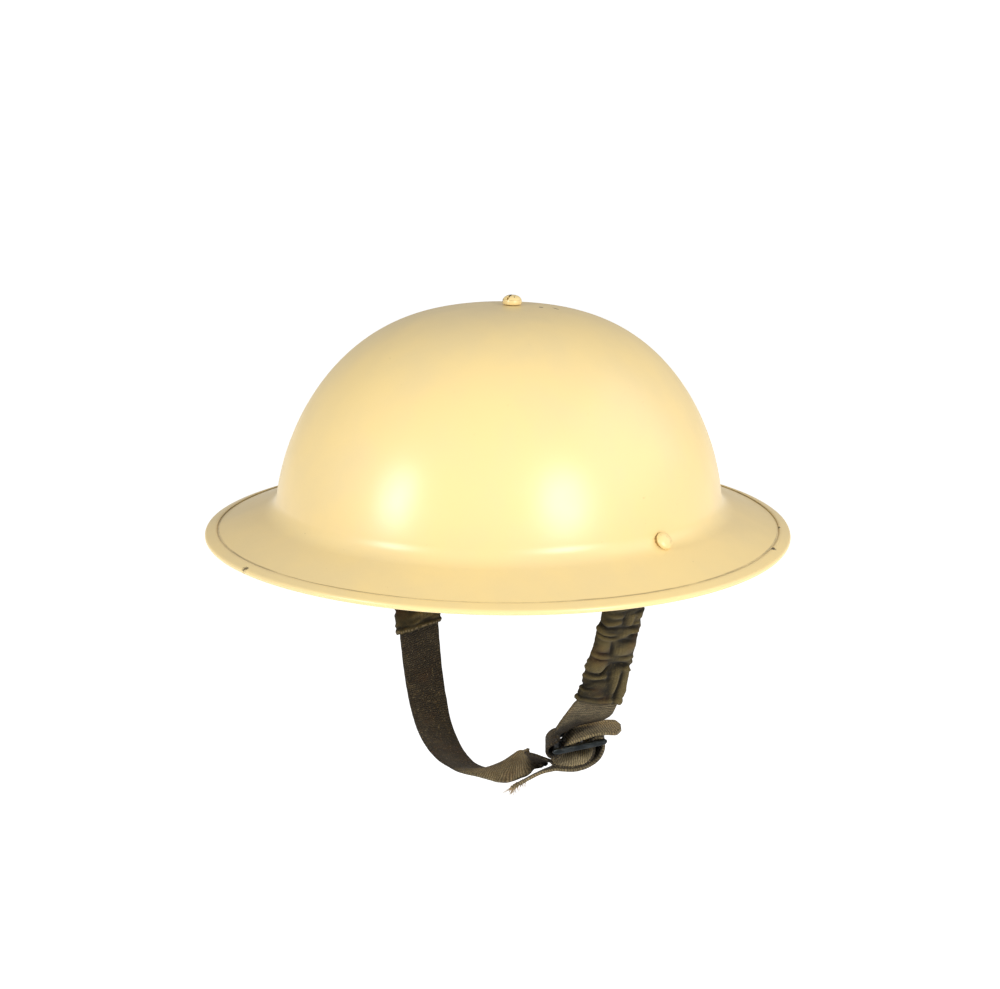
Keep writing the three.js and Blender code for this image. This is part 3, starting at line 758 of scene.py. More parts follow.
class Nodes:
    """Places nodes in a tree and joins them."""

    def __init__(self, tree):
        self.tree = tree
        self.count = 0

    def join(self, node, inputs):
        """Links or sets each input of a node."""
        for key, value in inputs.items():
            if isinstance(value, bpy.types.NodeSocket):
                self.tree.links.new(value, node.inputs[key])
            else:
                node.inputs[key].default_value = value

    def add(self, kind, inputs=(), **settings):
        """A new node with its settings and inputs."""
        node = self.tree.nodes.new(kind)
        node.location = (200 * (self.count % 12), -260 * (self.count // 12))
        self.count += 1
        for key, value in settings.items():
            setattr(node, key, value)
        self.join(node, dict(inputs))
        return node

    def math(self, operation, a, b=0.0, c=0.0):
        """A number worked out from up to three others."""
        return self.add("ShaderNodeMath", {0: a, 1: b, 2: c}, operation=operation).outputs[0]

    def times(self, a, b):
        """a times b"""
        return self.math("MULTIPLY", a, b)

    def plus(self, a, b):
        """a plus b"""
        return self.math("ADD", a, b)

    def minus(self, a, b):
        """a less b"""
        return self.math("SUBTRACT", a, b)

    def times_plus(self, a, b, c):
        """a times b, plus c"""
        return self.math("MULTIPLY_ADD", a, b, c)

    def vector(self, operation, a, *others):
        """The outputs of one step of vector arithmetic."""
        inputs = dict(enumerate((a, *others)))
        return self.add("ShaderNodeVectorMath", inputs, operation=operation).outputs

    def mix(self, factor, a, b, blend="MIX"):
        """One colour laid over another."""
        node = self.add(
            "ShaderNodeMix", {0: factor, 6: a, 7: b}, data_type="RGBA", blend_type=blend
        )
        return node.outputs[2]

    def noise(self, vector, scale, detail=4.0, roughness=0.5):
        """Cloudy noise from 0 to 1."""
        node = self.add(
            "ShaderNodeTexNoise",
            {"Vector": vector, "Scale": scale, "Detail": detail, "Roughness": roughness},
        )
        return node.outputs["Fac"]

    def spread(self, value, low, high, out_low=0.0, out_high=1.0):
        """Maps low..high smoothly to out_low..out_high, held at the ends."""
        node = self.add(
            "ShaderNodeMapRange",
            {"Value": value, "From Min": low, "From Max": high,
             "To Min": out_low, "To Max": out_high},
            interpolation_type="SMOOTHSTEP",
        )
        return node.outputs["Result"]

    def split(self, vector):
        """The X, Y and Z of a vector."""
        return self.add("ShaderNodeSeparateXYZ", {0: vector}).outputs

    def attribute(self, name):
        """A number that the mesh carries."""
        return self.add("ShaderNodeAttribute", attribute_name=name).outputs["Fac"]

    def bump(self, height, strength, distance):
        """Normals raised by a height."""
        inputs = {"Height": height, "Strength": strength, "Distance": distance}
        return self.add("ShaderNodeBump", inputs).outputs["Normal"]

    def group(self, shared, inputs):
        """The outputs of a shared group."""
        return self.add("ShaderNodeGroup", inputs, node_tree=shared()).outputs


def socket_kind(value):
    """The kind of socket for a value: None is a place, four numbers are a colour."""
    if isinstance(value, float):
        return "NodeSocketFloat"
    return "NodeSocketColor" if value and len(value) == 4 else "NodeSocketVector"


def shared_group(name, inputs, outputs):
    """Makes a function's nodes a shader group with these sockets, built once."""
    def decorate(fill):
        def group():
            found = bpy.data.node_groups.get(name)
            if found:
                return found
            tree = bpy.data.node_groups.new(name, "ShaderNodeTree")
            for label, value in inputs.items():
                socket = tree.interface.new_socket(
                    label, in_out="INPUT", socket_type=socket_kind(value)
                )
                if value is not None:
                    socket.default_value = value
            for label in outputs:
                kind = "NodeSocketColor" if label == "Color" else "NodeSocketFloat"
                tree.interface.new_socket(label, in_out="OUTPUT", socket_type=kind)
            nodes = Nodes(tree)
            source = nodes.add("NodeGroupInput")
            nodes.add("NodeGroupOutput", fill(nodes, source.outputs))
            return tree
        return group
    return decorate


def material(name, fill, *values):
    """A material made once: `fill` gives its shader's inputs from Object coordinates."""
    found = bpy.data.materials.get(name)
    if found:
        return found
    made = bpy.data.materials.new(name)
    made.use_nodes = True
    nodes = Nodes(made.node_tree)
    here = nodes.add("ShaderNodeTexCoord").outputs["Object"]
    nodes.join(made.node_tree.nodes["Principled BSDF"], fill(nodes, here, *values))
    return made


@shared_group(
    "Aged Sand Paint",
    {"Vector": None, "Paint": (0.6, 0.5, 0.3, 1), "Faded": (0.5, 0.4, 0.3, 1),
     "Grime": (0.1, 0.07, 0.03, 1), "Specks": 0.4, "Roughness": 0.35},
    ("Color", "Roughness", "Height"),
)
def aged_paint(nodes, given):
    """Sand paint: slow fading, fine mottling, a faint sprayed grain."""
    here = given["Vector"]
    slow = nodes.noise(here, 11, 3, 0.55)
    patch = nodes.noise(here, 46, 5, 0.6)
    grain = nodes.noise(here, 1500, 2, 0.5)
    speck = nodes.noise(here, 420, 3, 0.7)
    fading = nodes.plus(nodes.times(slow, 0.7), nodes.times(patch, 0.3))
    tone = nodes.spread(fading, 0.36, 0.66)
    colour = nodes.mix(tone, given["Paint"], given["Faded"])
    dirt = nodes.times(nodes.spread(speck, 0.70, 0.80), given["Specks"])
    return {
        "Color": nodes.mix(dirt, colour, given["Grime"]),
        "Roughness": nodes.times_plus(patch, 0.16, given["Roughness"]),
        "Height": nodes.plus(nodes.times(grain, 0.5), nodes.times(patch, 0.9)),
    }


@shared_group(
    "Ragged Spot", {"Vector": None, "Centre": None, "Squeeze": (1, 1, 1), "Size": 0.002},
    ("Mask",),
)
def ragged_spot(nodes, given):
    """A ragged spot round one place, where paint is lost or dirt is caught."""
    centred = nodes.vector("SUBTRACT", given["Vector"], given["Centre"])[0]
    squeezed = nodes.vector("MULTIPLY", centred, given["Squeeze"])[0]
    away = nodes.vector("LENGTH", squeezed)["Value"]
    ragged = nodes.noise(given["Vector"], 900, 3, 0.6)
    wander = nodes.times(nodes.minus(ragged, 0.5), given["Size"])
    reach = nodes.times_plus(wander, 1.1, away)
    share = nodes.math("DIVIDE", reach, given["Size"])
    return {"Mask": nodes.spread(share, 0.7, 1.0, 1.0, 0.0)}


@shared_group(
    "Seam Dirt And Shade",
    {"Vector": None, "Half Width": 0.139, "Half Length": 0.148, "Thickness": 0.001,
     "Least": 0.4},
    ("Mask",),
)
def seam_dirt_and_shade(nodes, given):
    """A thin broken line on an oval round the upright axis, as dirt and painted shade in the
    rim's seam.
    """
    parts = nodes.split(given["Vector"])
    x = nodes.math("DIVIDE", parts["X"], given["Half Width"])
    y = nodes.math("DIVIDE", parts["Y"], given["Half Length"])
    ring = nodes.math("SQRT", nodes.plus(nodes.times(x, x), nodes.times(y, y)))
    off = nodes.times(nodes.math("ABSOLUTE", nodes.minus(ring, 1.0)), given["Half Width"])
    uneven = nodes.noise(given["Vector"], 34, 4, 0.6)
    wide = nodes.times(given["Thickness"], nodes.spread(uneven, 0.3, 0.7, 0.5, 1.5))
    line = nodes.spread(nodes.math("DIVIDE", off, wide), 0.4, 1.0, 1.0, 0.0)
    gaps = nodes.noise(given["Vector"], 21, 5, 0.7)
    broken = nodes.spread(gaps, 0.36, 0.56, given["Least"], 1.0)
    return {"Mask": nodes.times(line, broken)}


@shared_group(
    "Ribbed Weave", {"UV": None, "Cords": 15.0, "Picks": 15.0, "Shift": 0.33}, ("Height",)
)
def ribbed_weave(nodes, given):
    """Close ribs across a narrow webbing, stepped from cord to cord, in strap widths."""
    parts = nodes.split(given["UV"])
    across = nodes.times(parts["Y"], given["Cords"])
    cord = nodes.math("FLOOR", across)
    within = nodes.math("FRACT", across)
    picks = nodes.times(parts["X"], given["Picks"])
    phase = nodes.times_plus(cord, given["Shift"], picks)
    phase = nodes.times_plus(nodes.noise(given["UV"], 7, 3, 0.6), 1.6, phase)
    rib = nodes.math("SINE", nodes.times(phase, math.tau))
    rib = nodes.times_plus(rib, 0.5, 0.5)
    body = nodes.math("SINE", nodes.times(within, math.pi))
    height = nodes.times_plus(body, 0.2, nodes.times(rib, 0.62))
    fibre = nodes.noise(given["UV"], 130, 4, 0.75)
    return {"Height": nodes.plus(nodes.minus(fibre, 0.42), height)}


@shared_group(
    "Worn And Shaded Cloth",
    {"Place": None, "Tone": 0.5, "Height": 0.5, "Dark": (0.03, 0.02, 0.01, 1),
     "Faded": (0.2, 0.15, 0.1, 1), "Rust": 0.2, "Rust Color": (0.10, 0.035, 0.012, 1)},
    ("Color", "Roughness"),
)
def worn_and_shaded_cloth(nodes, given):
    """Cloth colour from tone, where low tone is dirt and painted shade, with painted shade
    between the threads, a painted highlight on the high threads, and stains.
    """
    here = given["Place"]
    blotch = nodes.noise(here, 95, 5, 0.6)
    stain = nodes.noise(here, 260, 4, 0.65)
    tone = nodes.plus(given["Tone"], nodes.times(nodes.minus(blotch, 0.5), 0.55))
    tone = nodes.times_plus(nodes.minus(stain, 0.5), 0.35, tone)
    colour = nodes.mix(nodes.spread(tone, 0.0, 1.0), given["Dark"], given["Faded"])
    # Painted shade in the weave's low threads and a painted highlight on its high ones.
    thread = nodes.spread(given["Height"], 0.05, 1.0, 0.42, 1.7)
    shade = nodes.add("ShaderNodeCombineColor", {0: thread, 1: thread, 2: thread}).outputs[0]
    colour = nodes.mix(1.0, colour, shade, "MULTIPLY")
    rusty = nodes.spread(nodes.noise(here, 60, 4, 0.6), 0.52, 0.7)
    colour = nodes.mix(nodes.times(rusty, given["Rust"]), colour, given["Rust Color"])
    fluff = nodes.spread(nodes.noise(here, 900, 3, 0.7), 0.57, 0.68)
    return {
        "Color": nodes.mix(nodes.times(fluff, 0.38), colour, given["Faded"]),
        "Roughness": nodes.spread(stain, 0.3, 0.7, 0.78, 0.95),
    }


@shared_group(
    "Dull Steel",
    {"Vector": None, "Steel": (0.1, 0.1, 0.1, 1), "Rubbed": (0.3, 0.3, 0.3, 1), "Rust": 0.3,
     "Rust Color": (0.13, 0.055, 0.022, 1)},
    ("Color", "Roughness", "Metallic", "Height"),
)
def dull_steel(nodes, given):
    """Bare or blued steel with rubbed edges and specks of rust."""
    cloud = nodes.noise(given["Vector"], 140, 5, 0.6)
    stretched = nodes.add(
        "ShaderNodeMapping", {"Vector": given["Vector"], "Scale": (260, 260, 2600)}
    ).outputs[0]
    scratch = nodes.noise(stretched, 1.0, 3, 0.6)
    rubbed = nodes.spread(nodes.times_plus(scratch, 0.4, nodes.times(cloud, 0.6)), 0.48, 0.66)
    colour = nodes.mix(rubbed, given["Steel"], given["Rubbed"])
    rust = nodes.spread(nodes.noise(given["Vector"], 520, 4, 0.65), 0.6, 0.72)
    rust = nodes.times(rust, given["Rust"])
    smooth = nodes.spread(cloud, 0.3, 0.7, 0.28, 0.5)
    return {
        "Color": nodes.mix(rust, colour, given["Rust Color"]),
        "Roughness": nodes.plus(smooth, nodes.times(rust, 0.35)),
        "Metallic": nodes.minus(1.0, nodes.times(rust, 0.9)),
        "Height": scratch,
    }


def sand_paint(nodes, here, finish, spots, seam, specks=0.35, chipped=0.0):
    """Satin sand paint with dirt and painted shade in the rim's seam and a few ragged chips."""
    paint = nodes.group(aged_paint, {
        "Vector": here, "Paint": finish.paint[:], "Faded": finish.faded[:],
        "Grime": finish.grime[:], "Specks": specks, "Roughness": 0.25,
    })
    colour, rough, height = paint["Color"], paint["Roughness"], paint["Height"]
    if seam:
        half_width, half_length, thickness, least = seam
        line = nodes.group(seam_dirt_and_shade, {
            "Vector": here, "Half Width": half_width * MM,
            "Half Length": half_length * MM, "Thickness": thickness * MM, "Least": least,
        })["Mask"]
        # Dirt and painted shade along the seam under the band's lip.
        colour = nodes.mix(line, colour, finish.seam_dirt_and_shade[:])
    masks = [
        nodes.group(ragged_spot, {
            "Vector": here, "Centre": [c * MM for c in centre], "Squeeze": squeeze,
            "Size": size * MM,
        })["Mask"]
        for centre, squeeze, size in spots
    ]
    if chipped:
        flakes = nodes.spread(nodes.noise(here, 330, 4, 0.6), 0.56, 0.64)
        masks.append(nodes.times(flakes, chipped))
    if masks:
        mask = masks[0]
        for other in masks[1:]:
            mask = nodes.math("MAXIMUM", mask, other)
        colour = nodes.mix(mask, colour, finish.grime[:])
        rough = nodes.times_plus(mask, 0.3, rough)
        height = nodes.minus(height, nodes.times(mask, 1.2))
    return {
        "Base Color": colour,
        "Roughness": rough,
        "Normal": nodes.bump(height, 0.25, 0.00012),
        "Specular IOR Level": 0.45,
    }


def woven_strap(nodes, here, cloth, tone_name):
    """One face of the woven strap."""
    uv = nodes.add("ShaderNodeUVMap", uv_map="strap").outputs["UV"]
    # The tone is dirt, and in the strap's turned and hollow parts painted shade.
    tone = nodes.attribute(tone_name)
    weave = nodes.group(ribbed_weave, {
        "UV": uv, "Cords": cloth.cords, "Picks": 20.0, "Shift": 0.17,
    })
    worn = nodes.group(worn_and_shaded_cloth, {
        "Place": here, "Tone": tone, "Height": weave["Height"],
        "Dark": cloth.dark[:], "Faded": cloth.faded[:], "Rust": 0.12,
    })
    return {
        "Base Color": worn["Color"],
        "Roughness": worn["Roughness"],
        "Normal": nodes.bump(weave["Height"], 0.8, 0.0005),
        "Specular IOR Level": 0.15,
        "Sheen Weight": 0.05,
        "Sheen Roughness": 0.5,
    }


def stitched(nodes, uv, hem, colour):
    """A dashed line of pale stitches along a sleeve's hem."""
    parts = nodes.split(uv)
    off = nodes.math("ABSOLUTE", nodes.minus(parts["X"], hem))
    band = nodes.spread(off, 0.035, 0.07, 1.0, 0.0)
    dash = nodes.spread(nodes.math("SINE", nodes.times(parts["Y"], 34.0)), -0.4, 0.1)
    stitch = nodes.times(nodes.times(band, dash), 0.5)
    return nodes.mix(stitch, colour, (0.20, 0.16, 0.10, 1))


def ruched_cloth(nodes, here, cloth, crease_shade, hem):
    """Fine plain-woven cloth of a sleeve, with painted shade in its creases and a painted
    highlight on its raised folds, stitched along its hem.
    """
    uv = nodes.add("ShaderNodeUVMap", uv_map="cloth").outputs["UV"]
    weave = nodes.group(ribbed_weave, {
        "UV": uv, "Cords": 18.0, "Picks": 18.0, "Shift": 0.5,
    })
    # The folds' height sets the colour: painted shade low in the creases, a painted highlight on
    # the crests.
    tone = nodes.spread(nodes.attribute("raised"), -0.9, 1.5)
    worn = nodes.group(worn_and_shaded_cloth, {
        "Place": here, "Tone": tone, "Height": weave["Height"],
        "Dark": [c * crease_shade for c in cloth.sleeve[:3]] + [1],
        "Faded": [min(1, c * 2.3) for c in cloth.sleeve[:3]] + [1], "Rust": 0.15,
    })
    colour = worn["Color"]
    if hem:
        colour = stitched(nodes, uv, hem, colour)
    return {
        "Base Color": colour,
        "Roughness": worn["Roughness"],
        "Normal": nodes.bump(weave["Height"], 0.5, 0.0002),
        "Specular IOR Level": 0.12,
        "Sheen Weight": 0.03,
        "Sheen Roughness": 0.5,
    }


def bare_steel(nodes, here, steel, rubbed, rust):
    """Unpainted steel, rubbed and a little rusty."""
    worn = nodes.group(dull_steel, {
        "Vector": here, "Steel": steel, "Rubbed": rubbed, "Rust": rust,
    })
    return {
        "Base Color": worn["Color"],
        "Roughness": worn["Roughness"],
        "Metallic": worn["Metallic"],
        "Normal": nodes.bump(worn["Height"], 0.2, 0.0001),
    }


def hidden_steel():
    """The dull bare steel of the nut and the lugs."""
    return material("dull_steel", bare_steel, (0.16, 0.15, 0.13, 1), (0.34, 0.32, 0.28, 1), 0.5)


def loose_thread(nodes, here):
    """Loose golden-brown threads of the frayed end."""
    tone = nodes.noise(here, 700, 3, 0.6)
    return {
        "Base Color": nodes.mix(nodes.spread(tone, 0.35, 0.65), (0.11, 0.065, 0.02, 1),
                                (0.32, 0.205, 0.075, 1)),
        "Roughness": nodes.spread(tone, 0.3, 0.7, 0.7, 0.9),
        "Sheen Weight": 0.2,
    }


def pale_floor(nodes, here):
    """A pale, faintly mottled floor that glows a little."""
    return {
        "Base Color": nodes.mix(nodes.noise(here, 3, 2, 0.5), (0.90, 0.90, 0.90, 1),
                                (0.93, 0.93, 0.93, 1)),
        "Roughness": 0.9,
        "Emission Color": (1, 1, 1, 1),
        "Emission Strength": 0.6,
    }


# ---- operators ---------------------------------------------------------------------------------


def in_metres(profile):
    """A profile of (radius, height) given in millimetres."""
    return [(radius * MM, height * MM) for radius, height in profile]


def pressed(name, scene, outline, closed, paint):
    """A turned sheet pressed to the helmet's oval and placed in its paint."""
    shape = scene.helmet_shape
    bm = turned(outline, shape.turns, closed)
    make_oval(bm, shape)
    add_waviness(bm, shape.waviness)
    place(finished("helmet_" + name, bm, [paint]), name, name)


class HELMET_OT_shell(bpy.types.Operator):
    """Press the shell: an oval dome that runs into a sloping brim"""

    bl_idname = "helmet.shell"
    bl_label = "Shell"

    def execute(self, context):
        scene = context.scene
        outer = shell_outline(scene.helmet_shape)
        inner = inside_of(outer, WALL * MM)
        paint = material("sand_paint_shell", sand_paint, scene.helmet_paint,
                         SHELL_SPOTS, SHELL_SEAM)
        pressed("shell", scene, [*outer, *reversed(inner)], False, paint)
        return {"FINISHED"}


class HELMET_OT_rim_band(bpy.types.Operator):
    """Fold the steel strip round the brim's edge"""

    bl_idname = "helmet.rim_band"
    bl_label = "Rim Band"

    def execute(self, context):
        half, inside, lap = BAND_HALF, BAND_INSIDE, BAND_LAP
        # from the upper lip, bent down on to the brim, round the fold to the lower lip
        section = [(lap, 0.58), (lap, inside), (lap - 0.12, half - 0.4),
                   (lap - 0.5, half - 0.2), (lap - 1.2, half - 0.05), (3.5, half),
                   (1.2, half)]
        for i in range(13):
            turn = math.radians(90 - 15 * i)
            section.append((0.5 - half * math.cos(turn), half * math.sin(turn)))
        section += [(1.2, -half), (3.5, -half), (lap - 0.25, -half), (lap - 0.06, 0.08 - half),
                    (lap, 0.25 - half), (lap, -inside), (3, -inside), (-0.1, -inside),
                    (-0.3, 0.2 - inside), (-0.3, inside - 0.2), (-0.1, inside), (3, inside)]
        scene = context.scene
        outline = [brim_point(scene.helmet_shape, inset, over) for inset, over in section]
        paint = material("sand_paint_band", sand_paint, scene.helmet_paint,
                         BAND_SPOTS, BAND_SEAM)
        pressed("rim_band", scene, outline, True, paint)
        return {"FINISHED"}


class HELMET_OT_crown_fastening(bpy.types.Operator):
    """Fit the slotted crown screw and its nut"""

    bl_idname = "helmet.crown_fastening"
    bl_label = "Crown Screw and Nut"

    def execute(self, context):
        profile = [(0, -5.6), (2.1, -5.6), (2.5, -5.2), (2.5, 1.3), (4.3, 1.3), (4.75, 1.5),
                   (4.9, 2.0), (4.9, 2.9)]
        for degrees in range(8, 90, 8):
            turn = math.radians(degrees)
            profile.append((4.9 * math.cos(turn) ** 0.9, 2.9 + 3.2 * math.sin(turn)))
        profile.append((0, 6.1))
        bm = turned(in_metres(profile), 48)
        # two lobes are left on either side of the slot
        upright, slot_side = (0, 0, 1), Vector((0.98, 0.2, 0))
        lobes = []
        for side in (1, -1):
            lobe = bm.copy()
            cut_flat(lobe, slot_side * (side * SLOT_HALF * MM), slot_side * side, True)
            cut_flat(lobe, (0, 0, LOBE_FOOT * MM), upright, True)
            lobes.append(lobe)
        cut_flat(bm, (0, 0, SLOT_FLOOR * MM), upright, False)
        for lobe in lobes:
            mesh = bpy.data.meshes.new("lobe")
            lobe.to_mesh(mesh)
            lobe.free()
            bm.from_mesh(mesh)
            bpy.data.meshes.remove(mesh)
        bmesh.ops.translate(bm, vec=(0, SCREW_SHIFT * MM, 0), verts=bm.verts)
        bmesh.ops.recalc_face_normals(bm, faces=bm.faces)
        paint = material("sand_paint_screw", sand_paint, context.scene.helmet_paint,
                         SCREW_SPOTS, None, 0.8, 0.85)
        screw = finished("helmet_crown_screw", bm, [paint])
        soften(screw, 0.25, 2, 40)
        place(screw, "crown_screw", "crown_screw")
        nut = merged_copy("crown_nut", "helmet_crown_nut", [hidden_steel()])
        soften(nut, 0.35, 3, 35)
        place(nut, "crown_nut", "crown_nut")
        return {"FINISHED"}


class HELMET_OT_rivets(bpy.types.Operator):
    """Set the two domed rivets that hold the strap's lugs"""

    bl_idname = "helmet.rivets"
    bl_label = "Rivets"

    def execute(self, context):
        paint = material("sand_paint_rivet", sand_paint, context.scene.helmet_paint,
                         [], None, 0.6, 0.15)
        profile = [(0, RIVET_BROW + RIVET_DOME)]
        for degrees in range(82, 4, -8):
            turn = math.radians(degrees)
            profile.append((RIVET_RADIUS * math.cos(turn),
                            RIVET_BROW + RIVET_DOME * math.sin(turn)))
        profile += [(RIVET_RADIUS, 1.6), (4.45, 1.3), (4.1, 1.2), (2, 1.15), (2, -3.1),
                    (3.2, -3.1), (3.2, -3.9), (2.9, -4.2), (2.4, -4.3), (0, -4.3)]
        tilt = math.radians(RIVET_TILT)
        for side, name in ((1, "left_rivet"), (-1, "right_rivet")):
            bm = turned(in_metres(profile), 40)
            foot = Vector((side * RIVET_ACROSS, 0, LEVEL + RIVET_UP)) * MM
            stand_on(bm, foot, Vector((side * math.cos(tilt), 0, math.sin(tilt))))
            bmesh.ops.recalc_face_normals(bm, faces=bm.faces)
            place(finished("helmet_" + name, bm, [paint]), name, name)
        return {"FINISHED"}


class HELMET_OT_lugs(bpy.types.Operator):
    """Bend the wire loops that the strap hangs from"""

    bl_idname = "helmet.lugs"
    bl_label = "Strap Lugs"

    def execute(self, context):
        for name in ("left_lug", "right_lug"):
            lug = merged_copy(name, "helmet_" + name, [hidden_steel()])
            soften(lug, 0.3, 2, 25)
            place(lug, name, name)
        return {"FINISHED"}


class HELMET_OT_sleeves(bpy.types.Operator):
    """Gather the cloth sleeves on the strap's upper ends"""

    bl_idname = "helmet.sleeves"
    bl_label = "Sleeves"

    def execute(self, context):
        cloth = context.scene.helmet_cloth
        # name, rows, folds, seed, how dark the painted shade in the creases is, length of the
        # flat cloth, stitched
        for name, rows, folds, seed, crease_shade, cut, stitches in (
            ("left_sleeve", LEFT_SLEEVE, LEFT_FOLDS, 2.3, 0.2, 0.090, False),
            ("right_sleeve", RIGHT_SLEEVE, RIGHT_FOLDS, 8.1, 0.3, 0.088, True),
        ):
            bm, length = sleeve_tube(rows, folds, seed)
            hem = length / 10 - 0.12 if stitches else 0
            ruched = material("ruched_cloth_" + name, ruched_cloth, cloth, crease_shade, hem)
            sleeve = finished("helmet_" + name, bm, [ruched])
            add_modifier(sleeve, "Cloth", "SOLIDIFY", thickness=0.7 * MM, offset=-1,
                         use_even_offset=True, use_rim=True)
            place(sleeve, name, name)
        return {"FINISHED"}


def right_ribbon():
    """The path of the long webbing, from the right lug to the frayed end."""
    return Ribbon(strap_rows(RIGHT_FALL, RIGHT_WRAP, -1), STRAP_STEPS)


def left_ribbon():
    """The path of the short webbing, from the left lug to the cut tip."""
    return Ribbon(strap_rows(LEFT_FALL, LEFT_WRAP, 1), STRAP_STEPS)


def add_strap(name, ribbon, cloth, hole=None):
    """A woven strap along a ribbon, dark or faded on each face as its rows say."""
    bm = strap_sheet(ribbon)
    if hole:
        spot = Vector(hole) * MM
        nearest = min(bm.faces, key=lambda f: (f.calc_center_median() - spot).length)
        bmesh.ops.delete(bm, geom=[nearest], context="FACES_ONLY")
    materials = [
        material("webbing_" + face, woven_strap, cloth, "tone_" + face)
        for face in ("inward", "outward")
    ]
    strap = finished("helmet_" + name, bm, materials)
    add_modifier(strap, "Weave thickness", "SOLIDIFY", thickness=cloth.thickness, offset=0,
                 use_even_offset=False, use_rim=True, material_offset=1,
                 material_offset_rim=0)
    soften(strap, 0.3, 2, 50)
    place(strap, name, name)


class HELMET_OT_webbing(bpy.types.Operator):
    """Lay the two lengths of webbing, from the lugs to the slide"""

    bl_idname = "helmet.webbing"
    bl_label = "Webbing"

    def execute(self, context):
        cloth = context.scene.helmet_cloth
        add_strap("right_webbing", right_ribbon(), cloth, STRAP_HOLE)
        add_strap("left_webbing", left_ribbon(), cloth)
        return {"FINISHED"}


def add_thread(bm, root, way, curl, length, thick):
    """A thin curling thread from a root, in millimetres."""
    first = len(bm.verts)
    cone = bmesh.ops.create_cone(bm, cap_ends=True, segments=5, radius1=1, radius2=0.4,
                                 depth=1)["verts"]
    edges = {edge for vert in cone for edge in vert.link_edges
             if abs(edge.verts[0].co.z - edge.verts[1].co.z) > 0.5}
    bmesh.ops.subdivide_edges(bm, edges=list(edges), cuts=5)
    across = way.orthogonal().normalized()
    aside = way.cross(across)
    for vert in list(bm.verts)[first:]:
        s = vert.co.z + 0.5
        centre = root + way * (length * s - 0.8) + curl * (s * s * length * 0.35)
        vert.co = (centre + across * (vert.co.x * thick) + aside * (vert.co.y * thick)) * MM


class HELMET_OT_frayed_end(bpy.types.Operator):
    """Let loose threads hang from the strap's frayed end"""

    bl_idname = "helmet.frayed_end"
    bl_label = "Frayed End"

    def execute(self, context):
        ribbon = right_ribbon()
        run, _, face = ribbon.frames[-1]
        chance = random.Random(7)
        bm = bmesh.new()
        for i in range(THREADS):
            t = -1 + 2 * (i + chance.random()) / THREADS
            # most threads leave the strap near its very end
            row = len(ribbon.fine) - 1 - int(chance.random() ** 2 * 14)
            root = ribbon.point(row, t * 0.97)
            root += face * chance.uniform(-0.5, 0.5)
            length = chance.uniform(2.5, 5.5)
            lean = Vector((chance.uniform(-0.7, 0.7), chance.uniform(-0.7, 0.7),
                           chance.uniform(-1.1, -0.2)))
            curl = Vector((chance.uniform(-1, 1), chance.uniform(-1, 1),
                           chance.uniform(-1, 0.2))) * 0.9
            thick = chance.uniform(0.14, 0.26)
            add_thread(bm, root, (run * 0.45 + lean).normalized(), curl, length, thick)
        threads = finished("helmet_frayed_threads", bm, [material("loose_thread", loose_thread)])
        place(threads, "right_webbing")
        return {"FINISHED"}


class HELMET_OT_slide(bpy.types.Operator):
    """Forge the three-bar slide that joins the webbing"""

    bl_idname = "helmet.slide"
    bl_label = "Strap Slide"

    def execute(self, context):
        steel = material("blued_steel", bare_steel, (0.02, 0.0235, 0.025, 1),
                         (0.055, 0.062, 0.064, 1), 0.25)
        slide = merged_copy("strap_slide", "helmet_strap_slide", [steel])
        soften(slide, 0.3, 2, 20)
        place(slide, "strap_slide", "strap_slide")
        return {"FINISHED"}


def softbox(name, azimuth, elevation, distance, width, height, power):
    """An upright softbox that faces the helmet and isn't seen itself."""
    light = bpy.data.lights.new(name, "AREA")
    light.shape, light.size, light.size_y, light.energy = "RECTANGLE", width, height, power
    lamp = bpy.data.objects.new(name, light)
    bpy.context.scene.collection.objects.link(lamp)
    a, e = math.radians(azimuth), math.radians(elevation)
    away = Vector((math.sin(a) * math.cos(e), -math.cos(a) * math.cos(e), math.sin(e)))
    lamp.location = Vector((0, 0, -0.08)) + away * distance
    lamp.rotation_euler = (-away).to_track_quat("-Z", "Y").to_euler()
    lamp.visible_camera = False


def surround(scene, fill):
    """An even pale light from all round, brighter where the camera looks straight at it."""
    world = bpy.data.worlds.new("studio")
    scene.world = world
    world.use_nodes = True
    nodes = Nodes(world.node_tree)
    seen = nodes.add("ShaderNodeLightPath").outputs["Is Camera Ray"]
    nodes.join(world.node_tree.nodes["Background"], {
        "Color": (1, 1, 1, 1),
        "Strength": nodes.times_plus(seen, 1.1 - fill, fill),
    })


def camera_at(scene):
    """The camera, turned by its own right, up and back."""
    data = bpy.data.cameras.new("camera")
    data.lens, data.sensor_width = CAMERA_LENS, CAMERA_SENSOR
    camera = bpy.data.objects.new("camera", data)
    scene.collection.objects.link(camera)
    turn = Matrix((CAMERA_RIGHT, CAMERA_UP, CAMERA_BACK)).transposed().to_4x4()
    camera.matrix_world = Matrix.Translation(CAMERA_PLACE) @ turn
    scene.camera = camera


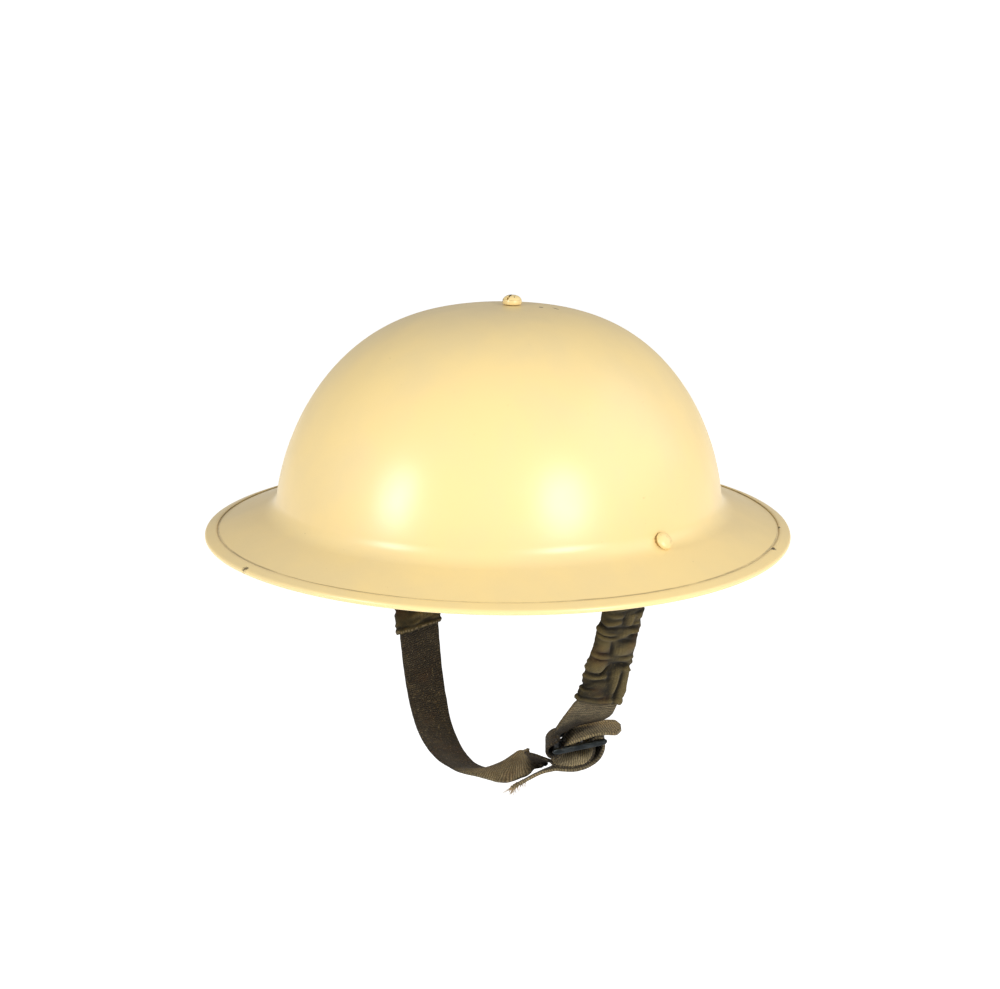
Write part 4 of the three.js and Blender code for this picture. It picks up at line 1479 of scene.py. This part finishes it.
class HELMET_OT_stage(bpy.types.Operator):
    """Set the pale floor, the softboxes and the camera"""

    bl_idname = "helmet.stage"
    bl_label = "Stage"

    def execute(self, context):
        scene, light = context.scene, context.scene.helmet_light
        bm = bmesh.new()
        bmesh.ops.create_circle(bm, cap_ends=True, segments=96, radius=FLOOR_RADIUS)
        bmesh.ops.translate(bm, vec=(0, 0, FLOOR_LEVEL), verts=bm.verts)
        finished("floor", bm, [material("pale_floor", pale_floor)])
        surround(scene, light.fill)
        for name, *place_and_size, share in SOFTBOXES:
            softbox(name, *place_and_size, light.key * share)
        scene.view_settings.view_transform = "Standard"
        camera_at(scene)
        return {"FINISHED"}


class HELMET_PT_panel(bpy.types.Panel):
    """Lists the helmet's pieces and the values that shape them"""

    bl_idname = "HELMET_PT_panel"
    bl_label = "Steel Helmet"
    bl_space_type = "VIEW_3D"
    bl_region_type = "UI"
    bl_category = "Helmet"

    def draw(self, context):
        for operator in OPERATORS:
            self.layout.operator(operator.bl_idname)
        for group in (context.scene.helmet_shape, context.scene.helmet_paint,
                      context.scene.helmet_cloth, context.scene.helmet_light):
            box = self.layout.box()
            for key in group.__annotations__:
                box.prop(group, key)


GROUPS = {
    "helmet_shape": HelmetShape,
    "helmet_paint": PaintFinish,
    "helmet_cloth": StrapCloth,
    "helmet_light": StageLight,
}
OPERATORS = [
    HELMET_OT_shell,
    HELMET_OT_rim_band,
    HELMET_OT_crown_fastening,
    HELMET_OT_rivets,
    HELMET_OT_lugs,
    HELMET_OT_sleeves,
    HELMET_OT_webbing,
    HELMET_OT_frayed_end,
    HELMET_OT_slide,
    HELMET_OT_stage,
]


def register():
    """Adds the classes, and the values to the scene."""
    for cls in (*GROUPS.values(), *OPERATORS, HELMET_PT_panel):
        bpy.utils.register_class(cls)
    for name, group in GROUPS.items():
        setattr(bpy.types.Scene, name, PointerProperty(type=group))


def unregister():
    """Takes the values and the classes away again."""
    for name in GROUPS:
        delattr(bpy.types.Scene, name)
    for cls in reversed((*GROUPS.values(), *OPERATORS, HELMET_PT_panel)):
        bpy.utils.unregister_class(cls)


def main():
    """Makes every piece in order."""
    register()
    for operator in OPERATORS:
        group, name = operator.bl_idname.split(".")
        getattr(getattr(bpy.ops, group), name)()


if __name__ == "__main__":
    main()
